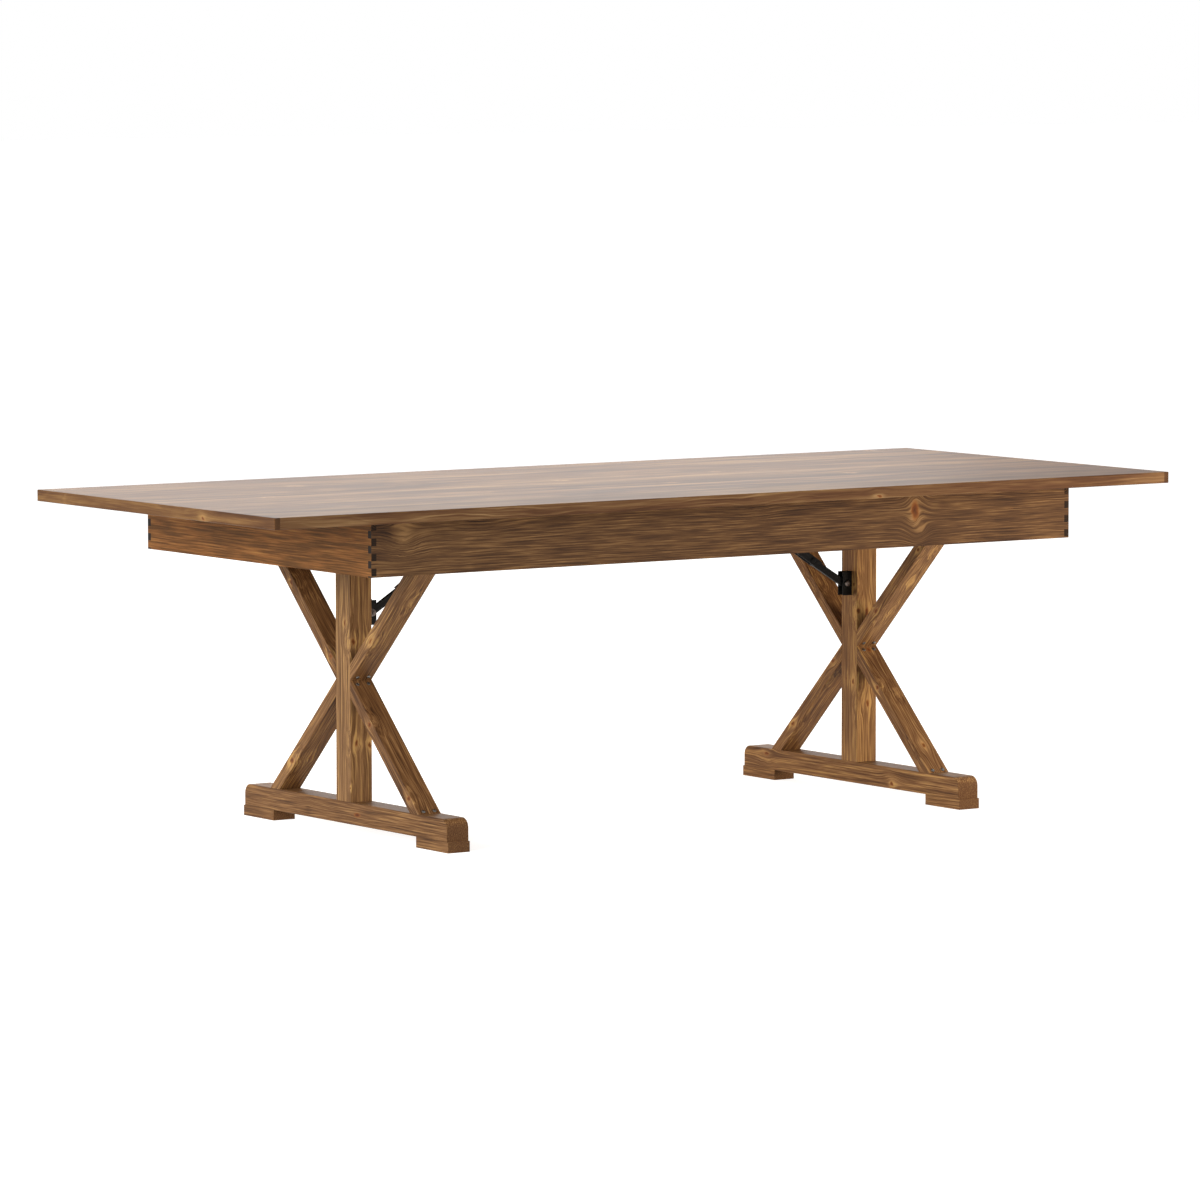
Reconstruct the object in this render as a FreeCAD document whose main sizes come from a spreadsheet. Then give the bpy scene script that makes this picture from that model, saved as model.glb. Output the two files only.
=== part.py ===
"""Folding sawbuck table: a plank top in a finger-jointed apron, on two X-braced leg frames.

Each leg frame hangs on three butt hinges under the top, folds inwards through a quarter turn,
and is held upright by a folding steel stay. Lengths are in millimetres. The origin is on the
floor below the middle of the top, X runs along the table, Y across it and Z up.
Both leg frames are drawn at the right-hand end, and the left-hand copy is turned half round Z.
"""
import FreeCAD, Part
import math
import os
import Sketcher

Vector = FreeCAD.Vector
doc = FreeCAD.newDocument("SawbuckTable")

# ---------------------------------------------------------------- driving dimensions
SIZES = {
    "table_length": 2438,        # top, end to end
    "table_width": 1016,         # top, side to side
    "table_height": 762,
    "top_thickness": 26,
    "board_count": 6,            # planks glued side by side
    "lipping_thickness": 13,     # strip glued across the planks at each end
    "edge_ease": 1.5,            # radius sanded on the wood's outer edges
    "end_overhang": 266,         # top beyond the apron at each end
    "side_overhang": 36.5,       # top beyond the apron at each side
    "apron_height": 117.5,
    "apron_thickness": 13,
    "finger_pitch": 16.3,        # height of one finger of the corner joint
    "batten_width": 44,
    "batten_height": 38,
    "end_batten_inset": 110,     # from the apron's end to the middle of the end batten
    "corner_block_leg": 62,
    "corner_block_height": 80,
    "leg_inset": 252,            # outside of the end apron to the middle of a leg
    "leg_thickness": 57,
    "post_width": 61,
    "beam_length": 846,
    "beam_height": 50,
    "beam_round": 22,            # upper end corners of the foot beam
    "pad_height": 24,
    "pad_length": 130,
    "pad_overhang": 5,           # pad beyond the beam's end
    "brace_width": 28,
    "brace_angle": 46,           # from upright
    "rail_height": 53.5,
    "rail_thickness": 45,
    "dowel_radius": 6,
    "dowel_depth": 32,           # into each of the two pieces
    "hinge_spacing": 350,
    "hinge_length": 76,
    "leaf_height": 34,
    "leaf_thickness": 2.2,
    "knuckle_radius": 3.7,
    "knuckle_count": 5,
    "hinge_pin_radius": 2,
    "hinge_offset": 4,           # hinge axis in front of the rail's inner face
    "moving_gap": 0.3,           # between faces that slide past each other
    "pin_play": 0.05,            # radial play of a turning pin
    "stay_angle": 32.5,          # open stay above level
    "bolt_drop": 124.5,          # leg bolt below the apron's lower edge
    "bolt_standoff": 13.5,       # bolt axis in front of what the bracket sits on
    "bolt_radius": 4,
    "bolt_head_radius": 7.2,
    "bolt_head_height": 4.5,
    "washer_radius": 8.8,
    "washer_thickness": 1.6,
    "nut_radius": 7.5,           # across corners
    "nut_height": 6.5,
    "bolt_tail": 2,              # thread beyond the nut
    "bracket_length": 56,
    "bracket_depth": 26,
    "bracket_width": 20,
    "bracket_wall": 2,
    "lower_arm_length": 113,     # pivot to pivot
    "lower_arm_width": 9,
    "arm_wall": 2,
    "arm_rise": 8.5,             # upper arm's web above the line through its pivots
    "arm_drop": 10.5,            # both arms' lower edges below that line
    "nest_gap": 1,               # open lower arm's top edge under the upper arm's web
    "skirt_taper": 6,            # from a pivot to where an arm has its full depth
    "knee_drop": 2,              # knee below the line between the end bolts when open
    "knee_overlap": 27,          # upper arm beyond the knee, along its top edge
    "knee_undercut": 16,         # how much shorter its bottom edge is
    "window_reach": 150,         # slot in the upper arm's web, from the knee
    "bridge_length": 13,         # web left at the knee end
    "rivet_radius": 4,
    "rivet_head_radius": 6.5,
    "rivet_head_height": 2.2,
    "screw_radius": 2.2,
    "screw_head_radius": 4.3,
    "screw_head_height": 2.4,
    "brace_screw_length": 52,
    "brace_screw_spread": 14.5,  # either side of the leg's middle
    "brace_screw_inset": 11.5,   # along the brace from its tip
    "brace_foot_inset": 7.5,     # along the brace from the beam or rail
    "pad_screw_length": 50,
    "pad_screw_recess": 6,
    "pad_screw_spread": 38,
    "hinge_screw_length": 28,
    "hinge_screw_spread": 26,
    "bracket_screw_length": 22,
    "bracket_screw_spread": 19,
}

sheet = doc.addObject("Spreadsheet::Sheet", "Sizes")
for row, (alias, size) in enumerate(SIZES.items(), start=1):
    sheet.set(f"A{row}", str(size))
    sheet.setAlias(f"A{row}", alias)
doc.recompute()

# ---------------------------------------------------------------- derived places, as expressions
UNDERSIDE = "(Sizes.table_height - Sizes.top_thickness)"
HALF_LENGTH = "(Sizes.table_length / 2)"
HALF_WIDTH = "(Sizes.table_width / 2)"
BOARD_END = f"({HALF_LENGTH} - Sizes.lipping_thickness)"
APRON_END = "(Sizes.table_length / 2 - Sizes.end_overhang)"
APRON_SIDE = "(Sizes.table_width / 2 - Sizes.side_overhang)"
INSIDE_END = f"({APRON_END} - Sizes.apron_thickness)"
INSIDE_SIDE = f"({APRON_SIDE} - Sizes.apron_thickness)"
APRON_FOOT = f"({UNDERSIDE} - Sizes.apron_height)"

LEG_MIDDLE = f"({APRON_END} - Sizes.leg_inset)"
LEG_INNER = f"({LEG_MIDDLE} - Sizes.leg_thickness / 2)"
LEG_OUTER = f"({LEG_MIDDLE} + Sizes.leg_thickness / 2)"
RAIL_INNER = f"({LEG_OUTER} - Sizes.rail_thickness)"
RAIL_MIDDLE = f"({LEG_OUTER} - Sizes.rail_thickness / 2)"
HALF_POST = "(Sizes.post_width / 2)"
HALF_BEAM = "(Sizes.beam_length / 2)"
BEAM_TOP = "(Sizes.pad_height + Sizes.beam_height)"
RAIL_TOP = f"({APRON_FOOT} + Sizes.rail_height)"
CROSSING = f"(({APRON_FOOT} + {BEAM_TOP}) / 2)"  # where the braces meet on the post
BRACE_RISE = f"(({APRON_FOOT} - {BEAM_TOP}) / 2)"
BRACE_OUT = f"({BRACE_RISE} * tan(Sizes.brace_angle))"
BRACE_IN = f"({BRACE_OUT} - Sizes.brace_width / cos(Sizes.brace_angle))"
BRACE_HEEL = "(Sizes.brace_width / sin(Sizes.brace_angle))"

HINGE_X = f"({RAIL_INNER} - Sizes.hinge_offset)"
LEG_BOLT_X = f"({LEG_INNER} - Sizes.bolt_standoff)"
LEG_BOLT_Z = f"({APRON_FOOT} - Sizes.bolt_drop)"
ANCHOR_Z = f"({UNDERSIDE} - Sizes.bolt_standoff)"
ANCHOR_X = f"({LEG_BOLT_X} - ({ANCHOR_Z} - {LEG_BOLT_Z}) / tan(Sizes.stay_angle))"
STAY_SPAN = f"(({ANCHOR_Z} - {LEG_BOLT_Z}) / sin(Sizes.stay_angle))"
LOWER_TILT = "(asin(Sizes.knee_drop / Sizes.lower_arm_length) / 1 deg)"
LOWER_RUN = "(sqrt(Sizes.lower_arm_length ^ 2 - Sizes.knee_drop ^ 2))"
UPPER_RUN = f"({STAY_SPAN} - {LOWER_RUN})"
UPPER_LENGTH = f"(sqrt({UPPER_RUN} ^ 2 + Sizes.knee_drop ^ 2))"
LOWER_ANGLE = f"(180 - (Sizes.stay_angle - {LOWER_TILT}))"        # leg bolt to knee
UPPER_TILT = f"(asin(Sizes.knee_drop / {UPPER_LENGTH}) / 1 deg)"
UPPER_ANGLE = f"(0 - Sizes.stay_angle - {UPPER_TILT})"            # anchor to knee
BRACKET_INSIDE = "(Sizes.bracket_width / 2 - Sizes.bracket_wall)"
UPPER_HALF_WIDTH = f"({BRACKET_INSIDE} - Sizes.moving_gap)"
LOWER_ARM_RISE = "(Sizes.arm_rise - Sizes.arm_wall - Sizes.nest_gap)"


def value(expression):
    """The number that an expression on the sheet gives."""
    result = sheet.evalExpression(expression.replace("Sizes.", ""))
    return float(getattr(result, "Value", result))


# ---------------------------------------------------------------- modelling helpers
NORMAL_OF_PLANE = {"XY_Plane": "Z", "XZ_Plane": "Y", "YZ_Plane": "X"}
TOLERANCE = 1e-3
TURNS = {"right": 0, "left": 180}
finished = {}


def half_turn(side):
    return FreeCAD.Placement(Vector(0, 0, 0), FreeCAD.Rotation(Vector(0, 0, 1), TURNS[side]))


def new_body(name):
    return doc.addObject("PartDesign::Body", "Body_" + name)


def attach(body, name, plane, offset="0"):
    """A sketch on one of the body's own origin planes, moved along the plane's normal."""
    sketch = body.newObject("Sketcher::SketchObject", name)
    origin = next(item for item in body.Origin.OriginFeatures if item.Role == plane)
    sketch.AttachmentSupport = [(origin, "")]
    sketch.MapMode = "FlatFace"
    sketch.setExpression("AttachmentOffset.Base.z", offset)
    return sketch


def pin_point(sketch, geometry, point, place):
    """Fix one sketch point to two expressions, measured from the sketch's origin."""
    for kind, expression in zip(("DistanceX", "DistanceY"), place):
        size = value(expression)
        index = sketch.addConstraint(Sketcher.Constraint(kind, -1, 1, geometry, point, size))
        sketch.setExpression(f"Constraints[{index}]", expression)


def draw_outline(sketch, outline):
    """A closed outline of straight lines, every corner bound to the sheet."""
    corners = [Vector(value(x), value(y), 0) for x, y in outline]
    first = sketch.GeometryCount
    count = len(corners)
    for i in range(count):
        sketch.addGeometry(Part.LineSegment(corners[i], corners[(i + 1) % count]), False)
    for i in range(count):
        follower = first + (i + 1) % count
        sketch.addConstraint(Sketcher.Constraint("Coincident", first + i, 2, follower, 1))
    for i in range(count):
        pin_point(sketch, first + i, 1, outline[i])


def draw_circle(sketch, centre, radius):
    """A circle, its centre and radius bound to the sheet."""
    middle = Vector(value(centre[0]), value(centre[1]), 0)
    circle = Part.Circle(middle, Vector(0, 0, 1), value(radius))
    geometry = sketch.addGeometry(circle, False)
    pin_point(sketch, geometry, 3, centre)
    index = sketch.addConstraint(Sketcher.Constraint("Radius", geometry, value(radius)))
    sketch.setExpression(f"Constraints[{index}]", radius)


def rectangle(low_u, high_u, low_v, high_v):
    return [(low_u, low_v), (high_u, low_v), (high_u, high_v), (low_u, high_v)]


def add_pad(body, name, sketch, depth, symmetric=False):
    pad = body.newObject("PartDesign::Pad", name)
    pad.Profile = sketch
    pad.setExpression("Length", depth)
    if symmetric:
        pad.SideType = "Symmetric"
    doc.recompute()
    return pad


def cut_pocket(body, name, sketch, depth):
    """A pocket to both sides of its sketch; it has to take material away."""
    before = body.Shape.Volume
    pocket = body.newObject("PartDesign::Pocket", name)
    pocket.Profile = sketch
    pocket.setExpression("Length", depth)
    pocket.SideType = "Symmetric"
    doc.recompute()
    assert body.Shape.Volume < before - TOLERANCE, f"{name} cuts nothing"
    return pocket


def prism(name, plane, outline, low, high):
    """A body with a straight outline on a plane, from low to high along the third axis."""
    body = new_body(name)
    start = f"0 - ({high})" if plane == "XZ_Plane" else low
    sketch = attach(body, name + "_outline", plane, start)
    draw_outline(sketch, outline)
    add_pad(body, name + "_pad", sketch, f"({high}) - ({low})")
    return body


def ease_edges(body, radius, wanted):
    """Round the edges of the body that the test picks."""
    base = body.Tip
    names = [f"Edge{i}" for i, edge in enumerate(base.Shape.Edges, start=1) if wanted(edge)]
    fillet = body.newObject("PartDesign::Fillet", body.Name + f"_ease{len(body.Group)}")
    fillet.Base = (base, names)
    fillet.setExpression("Radius", radius)
    doc.recompute()
    return fillet


def runs_along(edge, axis):
    """Whether an edge is straight and parallel to the axis of this letter."""
    box = edge.BoundBox
    spans = {letter: getattr(box, letter + "Length") for letter in "XYZ"}
    return spans[axis] > TOLERANCE and sum(spans.values()) - spans[axis] < TOLERANCE


def lies_at(edge, axis, place):
    """Whether a whole edge lies in the plane where this axis has this value."""
    low = getattr(edge.BoundBox, axis + "Min")
    high = getattr(edge.BoundBox, axis + "Max")
    return abs(low - place) < TOLERANCE and abs(high - place) < TOLERANCE


def feature(name, shape, side="right"):
    """A feature that holds a shape made with Part's own functions."""
    made = doc.addObject("Part::Feature", name)
    made.Shape = shape
    made.Placement = half_turn(side)
    return made


def bored(base, *tools):
    """The base with the tools' shapes cut out of it."""
    before = base.Shape.Volume
    for tool in tools:
        cut = doc.addObject("Part::Cut", base.Name + "_bored")
        cut.Base = base
        cut.Tool = tool
        base = cut
    doc.recompute()
    assert base.Shape.Volume < before - TOLERANCE, f"nothing bored from {base.Name}"
    return base


def finish(label, piece, side="right"):
    """Give a sub-part its own label and, for a body, its half turn."""
    if piece.TypeId == "PartDesign::Body":
        piece.Placement = half_turn(side)
    piece.Label = label
    finished[label] = piece
    return piece


def finish_group(label, *pieces):
    """Finish several alike pieces as one sub-part of separate solids."""
    group = doc.addObject("Part::Compound", label)
    group.Links = list(pieces)
    doc.recompute()
    return finish(label, group)


def slanted(origin, angle, along, across):
    """A point in the XZ plane, measured along and across a slanted line."""
    x, z = origin
    return (
        f"({x} + ({along}) * cos({angle}) - ({across}) * sin({angle}))",
        f"({z} + ({along}) * sin({angle}) + ({across}) * cos({angle}))",
    )


def cylinder(radius, length, start, direction):
    return Part.makeCylinder(radius, length, Vector(*start), Vector(*direction))


def both_ends(shape):
    """A shape at the right-hand end and its copy at the left-hand end."""
    turned = shape.copy()
    turned.Placement = half_turn("left").multiply(turned.Placement)
    return Part.makeCompound(shape.Solids + turned.Solids)


# ---------------------------------------------------------------- screws
def pan_screw(seat, direction, length):
    """A screw whose domed head stands on the surface at its seat."""
    head_radius = value("Sizes.screw_head_radius")
    head_height = value("Sizes.screw_head_height")
    inward = Vector(*direction).normalize()
    back = Vector(*seat) - inward * head_height
    head = Part.makeCylinder(head_radius, head_height, back, inward)
    rim = [e for e in head.Edges if e.Closed and (e.CenterOfMass - back).Length < TOLERANCE]
    head = head.makeFillet(head_height * 0.6, rim)
    shank = Part.makeCylinder(value("Sizes.screw_radius"), length, Vector(*seat), inward)
    return head.fuse(shank).removeSplitter()


def flush_screw(seat, direction, length):
    """A screw whose cone-shaped head ends level with the surface at its seat."""
    inward = Vector(*direction).normalize()
    radius = value("Sizes.screw_radius")
    depth = value("Sizes.leaf_thickness")
    head = Part.makeCone(radius + depth, radius, depth, Vector(*seat), inward)
    shank = Part.makeCylinder(radius, length, Vector(*seat), inward)
    return head.fuse(shank).removeSplitter()


# ---------------------------------------------------------------- table top and apron
def on_rim(edge):
    """Whether an edge lies on the rim of the whole top."""
    half_length = value(HALF_LENGTH)
    half_width = value(HALF_WIDTH)
    at_end = lies_at(edge, "X", half_length) or lies_at(edge, "X", -half_length)
    at_side = lies_at(edge, "Y", half_width) or lies_at(edge, "Y", -half_width)
    if runs_along(edge, "X"):
        return at_side
    return at_end and (runs_along(edge, "Y") or at_side)


def make_top_boards():
    """Planks glued edge to edge; only the rim of the whole top is eased."""
    for i in range(int(value("Sizes.board_count"))):
        low = f"Sizes.table_width * ({i} / Sizes.board_count - 0.5)"
        high = f"Sizes.table_width * ({i + 1} / Sizes.board_count - 0.5)"
        name = f"top_board_{i + 1}"
        outline = rectangle(f"0 - {BOARD_END}", BOARD_END, low, high)
        body = prism(name, "XY_Plane", outline, UNDERSIDE, "Sizes.table_height")
        if i in (0, int(value("Sizes.board_count")) - 1):
            ease_edges(body, "Sizes.edge_ease", on_rim)
        finish(name, body)


def make_end_lippings():
    """Strips glued across both ends of the planks, which hide their end grain."""
    strips = []
    for side in TURNS:
        outline = rectangle(BOARD_END, HALF_LENGTH, f"0 - {HALF_WIDTH}", HALF_WIDTH)
        strip = prism(f"end_lipping_{side}", "XY_Plane", outline, UNDERSIDE, "Sizes.table_height")
        ease_edges(strip, "Sizes.edge_ease", on_rim)
        strip.Placement = half_turn(side)
        strips.append(strip)
    finish_group("end_lippings", *strips)


def make_apron(label, plane, half_span, low, high, first_notch):
    """An apron board, its ends notched for the fingers of the boards that it meets."""
    outline = rectangle(f"0 - {half_span}", half_span, APRON_FOOT, UNDERSIDE)
    body = prism(label, plane, outline, low, high)
    notch_top = f"({UNDERSIDE} - {first_notch} * Sizes.finger_pitch)"
    notch_foot = f"({notch_top} - Sizes.finger_pitch)"
    middle = f"({low} + {high}) / 2"
    offset = f"0 - {middle}" if plane == "XZ_Plane" else middle
    sketch = attach(body, label + "_notches", plane, offset)
    inner = f"({half_span} - Sizes.apron_thickness)"
    outer = f"({half_span} + Sizes.apron_thickness)"
    draw_outline(sketch, rectangle(inner, outer, notch_foot, notch_top))
    draw_outline(sketch, rectangle(f"0 - {outer}", f"0 - {inner}", notch_foot, notch_top))
    pocket = cut_pocket(body, label + "_notch", sketch, "4 * Sizes.apron_thickness")
    pattern = body.newObject("PartDesign::LinearPattern", label + "_fingers")
    pattern.Originals = [pocket]
    pattern.Direction = (sketch, ["V_Axis"])
    pattern.Reversed = True
    pattern.Mode = "Spacing"
    pattern.setExpression("Offset", "2 * Sizes.finger_pitch")
    rows = f"ceil((Sizes.apron_height / Sizes.finger_pitch - {first_notch}) / 2)"
    pattern.setExpression("Occurrences", rows)
    body.Tip = pattern
    before = pocket.Shape.Volume
    doc.recompute()
    assert body.Shape.Volume < before - TOLERANCE, f"{label} has one notch at each end"
    return finish(label, body)


def make_apron_box():
    side_low = f"0 - {APRON_SIDE}"
    make_apron("apron_front", "XZ_Plane", APRON_END, side_low, f"0 - {INSIDE_SIDE}", 0)
    make_apron("apron_rear", "XZ_Plane", APRON_END, INSIDE_SIDE, APRON_SIDE, 0)
    make_apron("apron_left_end", "YZ_Plane", APRON_SIDE, f"0 - {APRON_END}", f"0 - {INSIDE_END}", 1)
    make_apron("apron_right_end", "YZ_Plane", APRON_SIDE, INSIDE_END, APRON_END, 1)


def make_battens():
    """Cross battens that keep the planks flat: one in the middle and one near each end."""
    foot = f"{UNDERSIDE} - Sizes.batten_height"
    half = "Sizes.batten_width / 2"
    middle = rectangle(f"0 - {half}", half, f"0 - {INSIDE_SIDE}", INSIDE_SIDE)
    finish("centre_batten", prism("centre_batten", "XY_Plane", middle, foot, UNDERSIDE))
    place = f"({APRON_END} - Sizes.end_batten_inset)"
    for side in TURNS:
        name = f"end_batten_{side}"
        outline = rectangle(f"{place} - {half}", f"{place} + {half}", f"0 - {INSIDE_SIDE}", INSIDE_SIDE)
        finish(name, prism(name, "XY_Plane", outline, foot, UNDERSIDE), side)


def make_corner_blocks():
    """Four glued three-cornered blocks inside the corners of the apron."""
    leg = value("Sizes.corner_block_leg")
    height = value("Sizes.corner_block_height")
    top = value(UNDERSIDE)
    solids = []
    for x_sign in (-1, 1):
        for y_sign in (-1, 1):
            x = x_sign * value(INSIDE_END)
            y = y_sign * value(INSIDE_SIDE)
            corners = [
                Vector(x, y, top),
                Vector(x - x_sign * leg, y, top),
                Vector(x, y - y_sign * leg, top),
            ]
            face = Part.Face(Part.makePolygon(corners + corners[:1]))
            solids.append(face.extrude(Vector(0, 0, -height)))
    finish("corner_blocks", feature("corner_blocks", Part.makeCompound(solids)))


# ---------------------------------------------------------------- hinges
def hinge_middles():
    spacing = value("Sizes.hinge_spacing")
    return (-spacing, 0, spacing)


def hinge_leaf(middle, fixed):
    """One leaf with its knuckles: the fixed leaf stands up on the cleat, the other hangs down."""
    length = value("Sizes.hinge_length")
    count = int(value("Sizes.knuckle_count"))
    gap = value("Sizes.moving_gap")
    thickness = value("Sizes.leaf_thickness")
    radius = value("Sizes.knuckle_radius")
    axis_x = value(HINGE_X)
    axis_z = value(RAIL_TOP)
    face_x = value(RAIL_INNER)
    up = 1 if fixed else -1
    start = radius + 2 * gap
    height = value("Sizes.leaf_height")
    foot = axis_z + up * start
    plate_low = min(foot, foot + up * height)
    plate_corner = Vector(face_x - thickness, middle - length / 2, plate_low)
    leaf = Part.makeBox(thickness, length, height, plate_corner)
    pitch = length / count
    for i in range(0 if fixed else 1, count, 2):
        low = middle - length / 2 + i * pitch + gap / 2
        knuckle = cylinder(radius, pitch - gap, (axis_x, low, axis_z), (0, 1, 0))
        neck_low = min(axis_z, axis_z + up * start)
        neck = Part.makeBox(thickness, pitch - gap, start, Vector(face_x - thickness, low, neck_low))
        leaf = leaf.fuse(knuckle).fuse(neck)
    bore = value("Sizes.hinge_pin_radius") + (0 if fixed else value("Sizes.pin_play"))
    leaf = leaf.cut(cylinder(bore, length, (axis_x, middle - length / 2, axis_z), (0, 1, 0)))
    return leaf.removeSplitter()


def hinge_screws(fixed):
    """Three flush screws through each leaf into the wood behind it."""
    up = 1 if fixed else -1
    reach = value("Sizes.knuckle_radius") + value("Sizes.leaf_height") * 0.6
    seat_x = value(RAIL_INNER) - value("Sizes.leaf_thickness")
    seat_z = value(RAIL_TOP) + up * reach
    spread = value("Sizes.hinge_screw_spread")
    length = value("Sizes.hinge_screw_length")
    return [
        flush_screw((seat_x, middle + shift, seat_z), (1, 0, 0), length)
        for middle in hinge_middles()
        for shift in (-spread, 0, spread)
    ]


def hinge_leaves(fixed):
    return Part.makeCompound([hinge_leaf(middle, fixed) for middle in hinge_middles()])


def hinge_pins():
    """The pins stand out a little at both ends of their hinges."""
    radius = value("Sizes.hinge_pin_radius")
    length = value("Sizes.hinge_length") + radius
    x = value(HINGE_X)
    z = value(RAIL_TOP)
    pins = [cylinder(radius, length, (x, m - length / 2, z), (0, 1, 0)) for m in hinge_middles()]
    return Part.makeCompound(pins)


# ---------------------------------------------------------------- stay brackets and bolts
def bracket_screws(middle, outward, along, base):
    """Two pan screws inside a bracket, into what the bracket sits on."""
    wall = value("Sizes.bracket_wall")
    spread = value("Sizes.bracket_screw_spread")
    length = value("Sizes.bracket_screw_length")
    seat = Vector(*middle) + Vector(*outward) * (wall - base)
    inward = Vector(*outward) * -1
    return [
        pan_screw(seat + Vector(*along) * shift, inward, length)
        for shift in (-spread, spread)
    ]


def bolt_set(x, z, spacer_width):
    """A bolt across a bracket with its washer and nut, and spacers beside the arm on it."""
    radius = value("Sizes.bolt_radius")
    outside = value("Sizes.bracket_width") / 2
    inside = value(BRACKET_INSIDE)
    washer = value("Sizes.washer_thickness")
    nut = value("Sizes.nut_height")
    head_height = value("Sizes.bolt_head_height")
    shank_end = outside + washer + nut + value("Sizes.bolt_tail")
    shank = cylinder(radius, outside + shank_end, (x, -outside, z), (0, 1, 0))
    head = cylinder(value("Sizes.bolt_head_radius"), head_height, (x, -outside, z), (0, -1, 0))
    rim = [e for e in head.Edges if e.Closed and e.CenterOfMass.y < -outside - head_height + TOLERANCE]
    head = head.makeFillet(head_height * 0.55, rim)
    solids = [shank.fuse(head).removeSplitter()]
    ring = cylinder(value("Sizes.washer_radius"), washer, (x, outside, z), (0, 1, 0))
    solids.append(ring.cut(shank))
    corner = value("Sizes.nut_radius")
    face_y = outside + washer
    corners = [
        Vector(x + corner * math.cos(math.radians(a)), face_y, z + corner * math.sin(math.radians(a)))
        for a in range(0, 421, 60)
    ]
    hexagon = Part.Face(Part.makePolygon(corners[:6] + corners[:1]))
    solids.append(hexagon.extrude(Vector(0, nut, 0)).cut(shank))
    if spacer_width > 0:
        for y in (-inside, inside - spacer_width):
            spacer = cylinder(radius * 1.5, spacer_width, (x, y, z), (0, 1, 0))
            solids.append(spacer.cut(shank))
    return solids


def channel_outline(base, depth_sign, half, wall, depth):
    """The U of a bracket: across on the first axis, standing off its base on the second."""
    floor = f"({base} + {depth_sign} * {wall})"
    rim = f"({base} + {depth_sign} * {depth})"
    inner = f"({half} - {wall})"
    return [
        (f"0 - {half}", base), (half, base), (half, rim), (inner, rim),
        (inner, floor), (f"0 - {inner}", floor), (f"0 - {inner}", rim), (f"0 - {half}", rim),
    ]


def make_bracket(name, plane, outline, low, high, bolt_place):
    """A folded steel bracket with a hole for the bolt through both ears."""
    body = prism(name, plane, outline, low, high)
    ease_edges(body, "Sizes.bracket_wall / 4", lambda edge: runs_along(edge, NORMAL_OF_PLANE[plane]))
    sketch = attach(body, name + "_bolt_hole", "XZ_Plane")
    draw_circle(sketch, bolt_place, "Sizes.bolt_radius")
    cut_pocket(body, name + "_bolt_bore", sketch, "2 * Sizes.bracket_width")
    return body


# ---------------------------------------------------------------- stay arms
def pad_disc(body, name, centre, radius, depth):
    sketch = attach(body, name, "XZ_Plane")
    draw_circle(sketch, centre, radius)
    add_pad(body, name + "_pad", sketch, depth, symmetric=True)


def make_lower_arm(side):
    """A channel, open above, that turns on the leg bolt and nests in the upper arm."""
    name = f"stay_lower_arm_{side}"
    origin = (LEG_BOLT_X, LEG_BOLT_Z)
    angle = LOWER_ANGLE
    length = "Sizes.lower_arm_length"
    half = LOWER_ARM_RISE
    skirt = "Sizes.arm_drop"
    width = "Sizes.lower_arm_width"
    body = new_body(name)
    sketch = attach(body, name + "_outline", "XZ_Plane")
    corners = [
        ("0", f"0 - {half}"),
        (length, f"0 - {half}"),
        (length, half),
        (f"{length} - Sizes.skirt_taper", skirt),
        ("Sizes.skirt_taper", skirt),
        ("0", half),
    ]
    draw_outline(sketch, [slanted(origin, angle, u, v) for u, v in corners])
    add_pad(body, name + "_bar", sketch, width, symmetric=True)
    for tag, along in (("heel", "0"), ("knee", length)):
        pad_disc(body, f"{name}_{tag}", slanted(origin, angle, along, "0"), half, width)
    # The arm runs up and inwards, so its lower edge is on the side of positive across values.
    hollow = attach(body, name + "_hollow", "XZ_Plane")
    open_edge = f"0 - 2 * {half}"
    web = f"{skirt} - Sizes.arm_wall"
    beyond = f"{length} + 2 * {half}"
    before = f"0 - 2 * {half}"
    corners = [(before, open_edge), (beyond, open_edge), (beyond, web), (before, web)]
    draw_outline(hollow, [slanted(origin, angle, u, v) for u, v in corners])
    cut_pocket(body, name + "_trough", hollow, f"{width} - 2 * Sizes.arm_wall")
    for tag, along, radius in (("heel", "0", "Sizes.bolt_radius"), ("knee", length, "Sizes.rivet_radius")):
        hole = attach(body, f"{name}_{tag}_hole", "XZ_Plane")
        draw_circle(hole, slanted(origin, angle, along, "0"), f"{radius} + Sizes.pin_play")
        cut_pocket(body, f"{name}_{tag}_bore", hole, f"2 * {width}")
    return finish(name, body, side)


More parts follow.
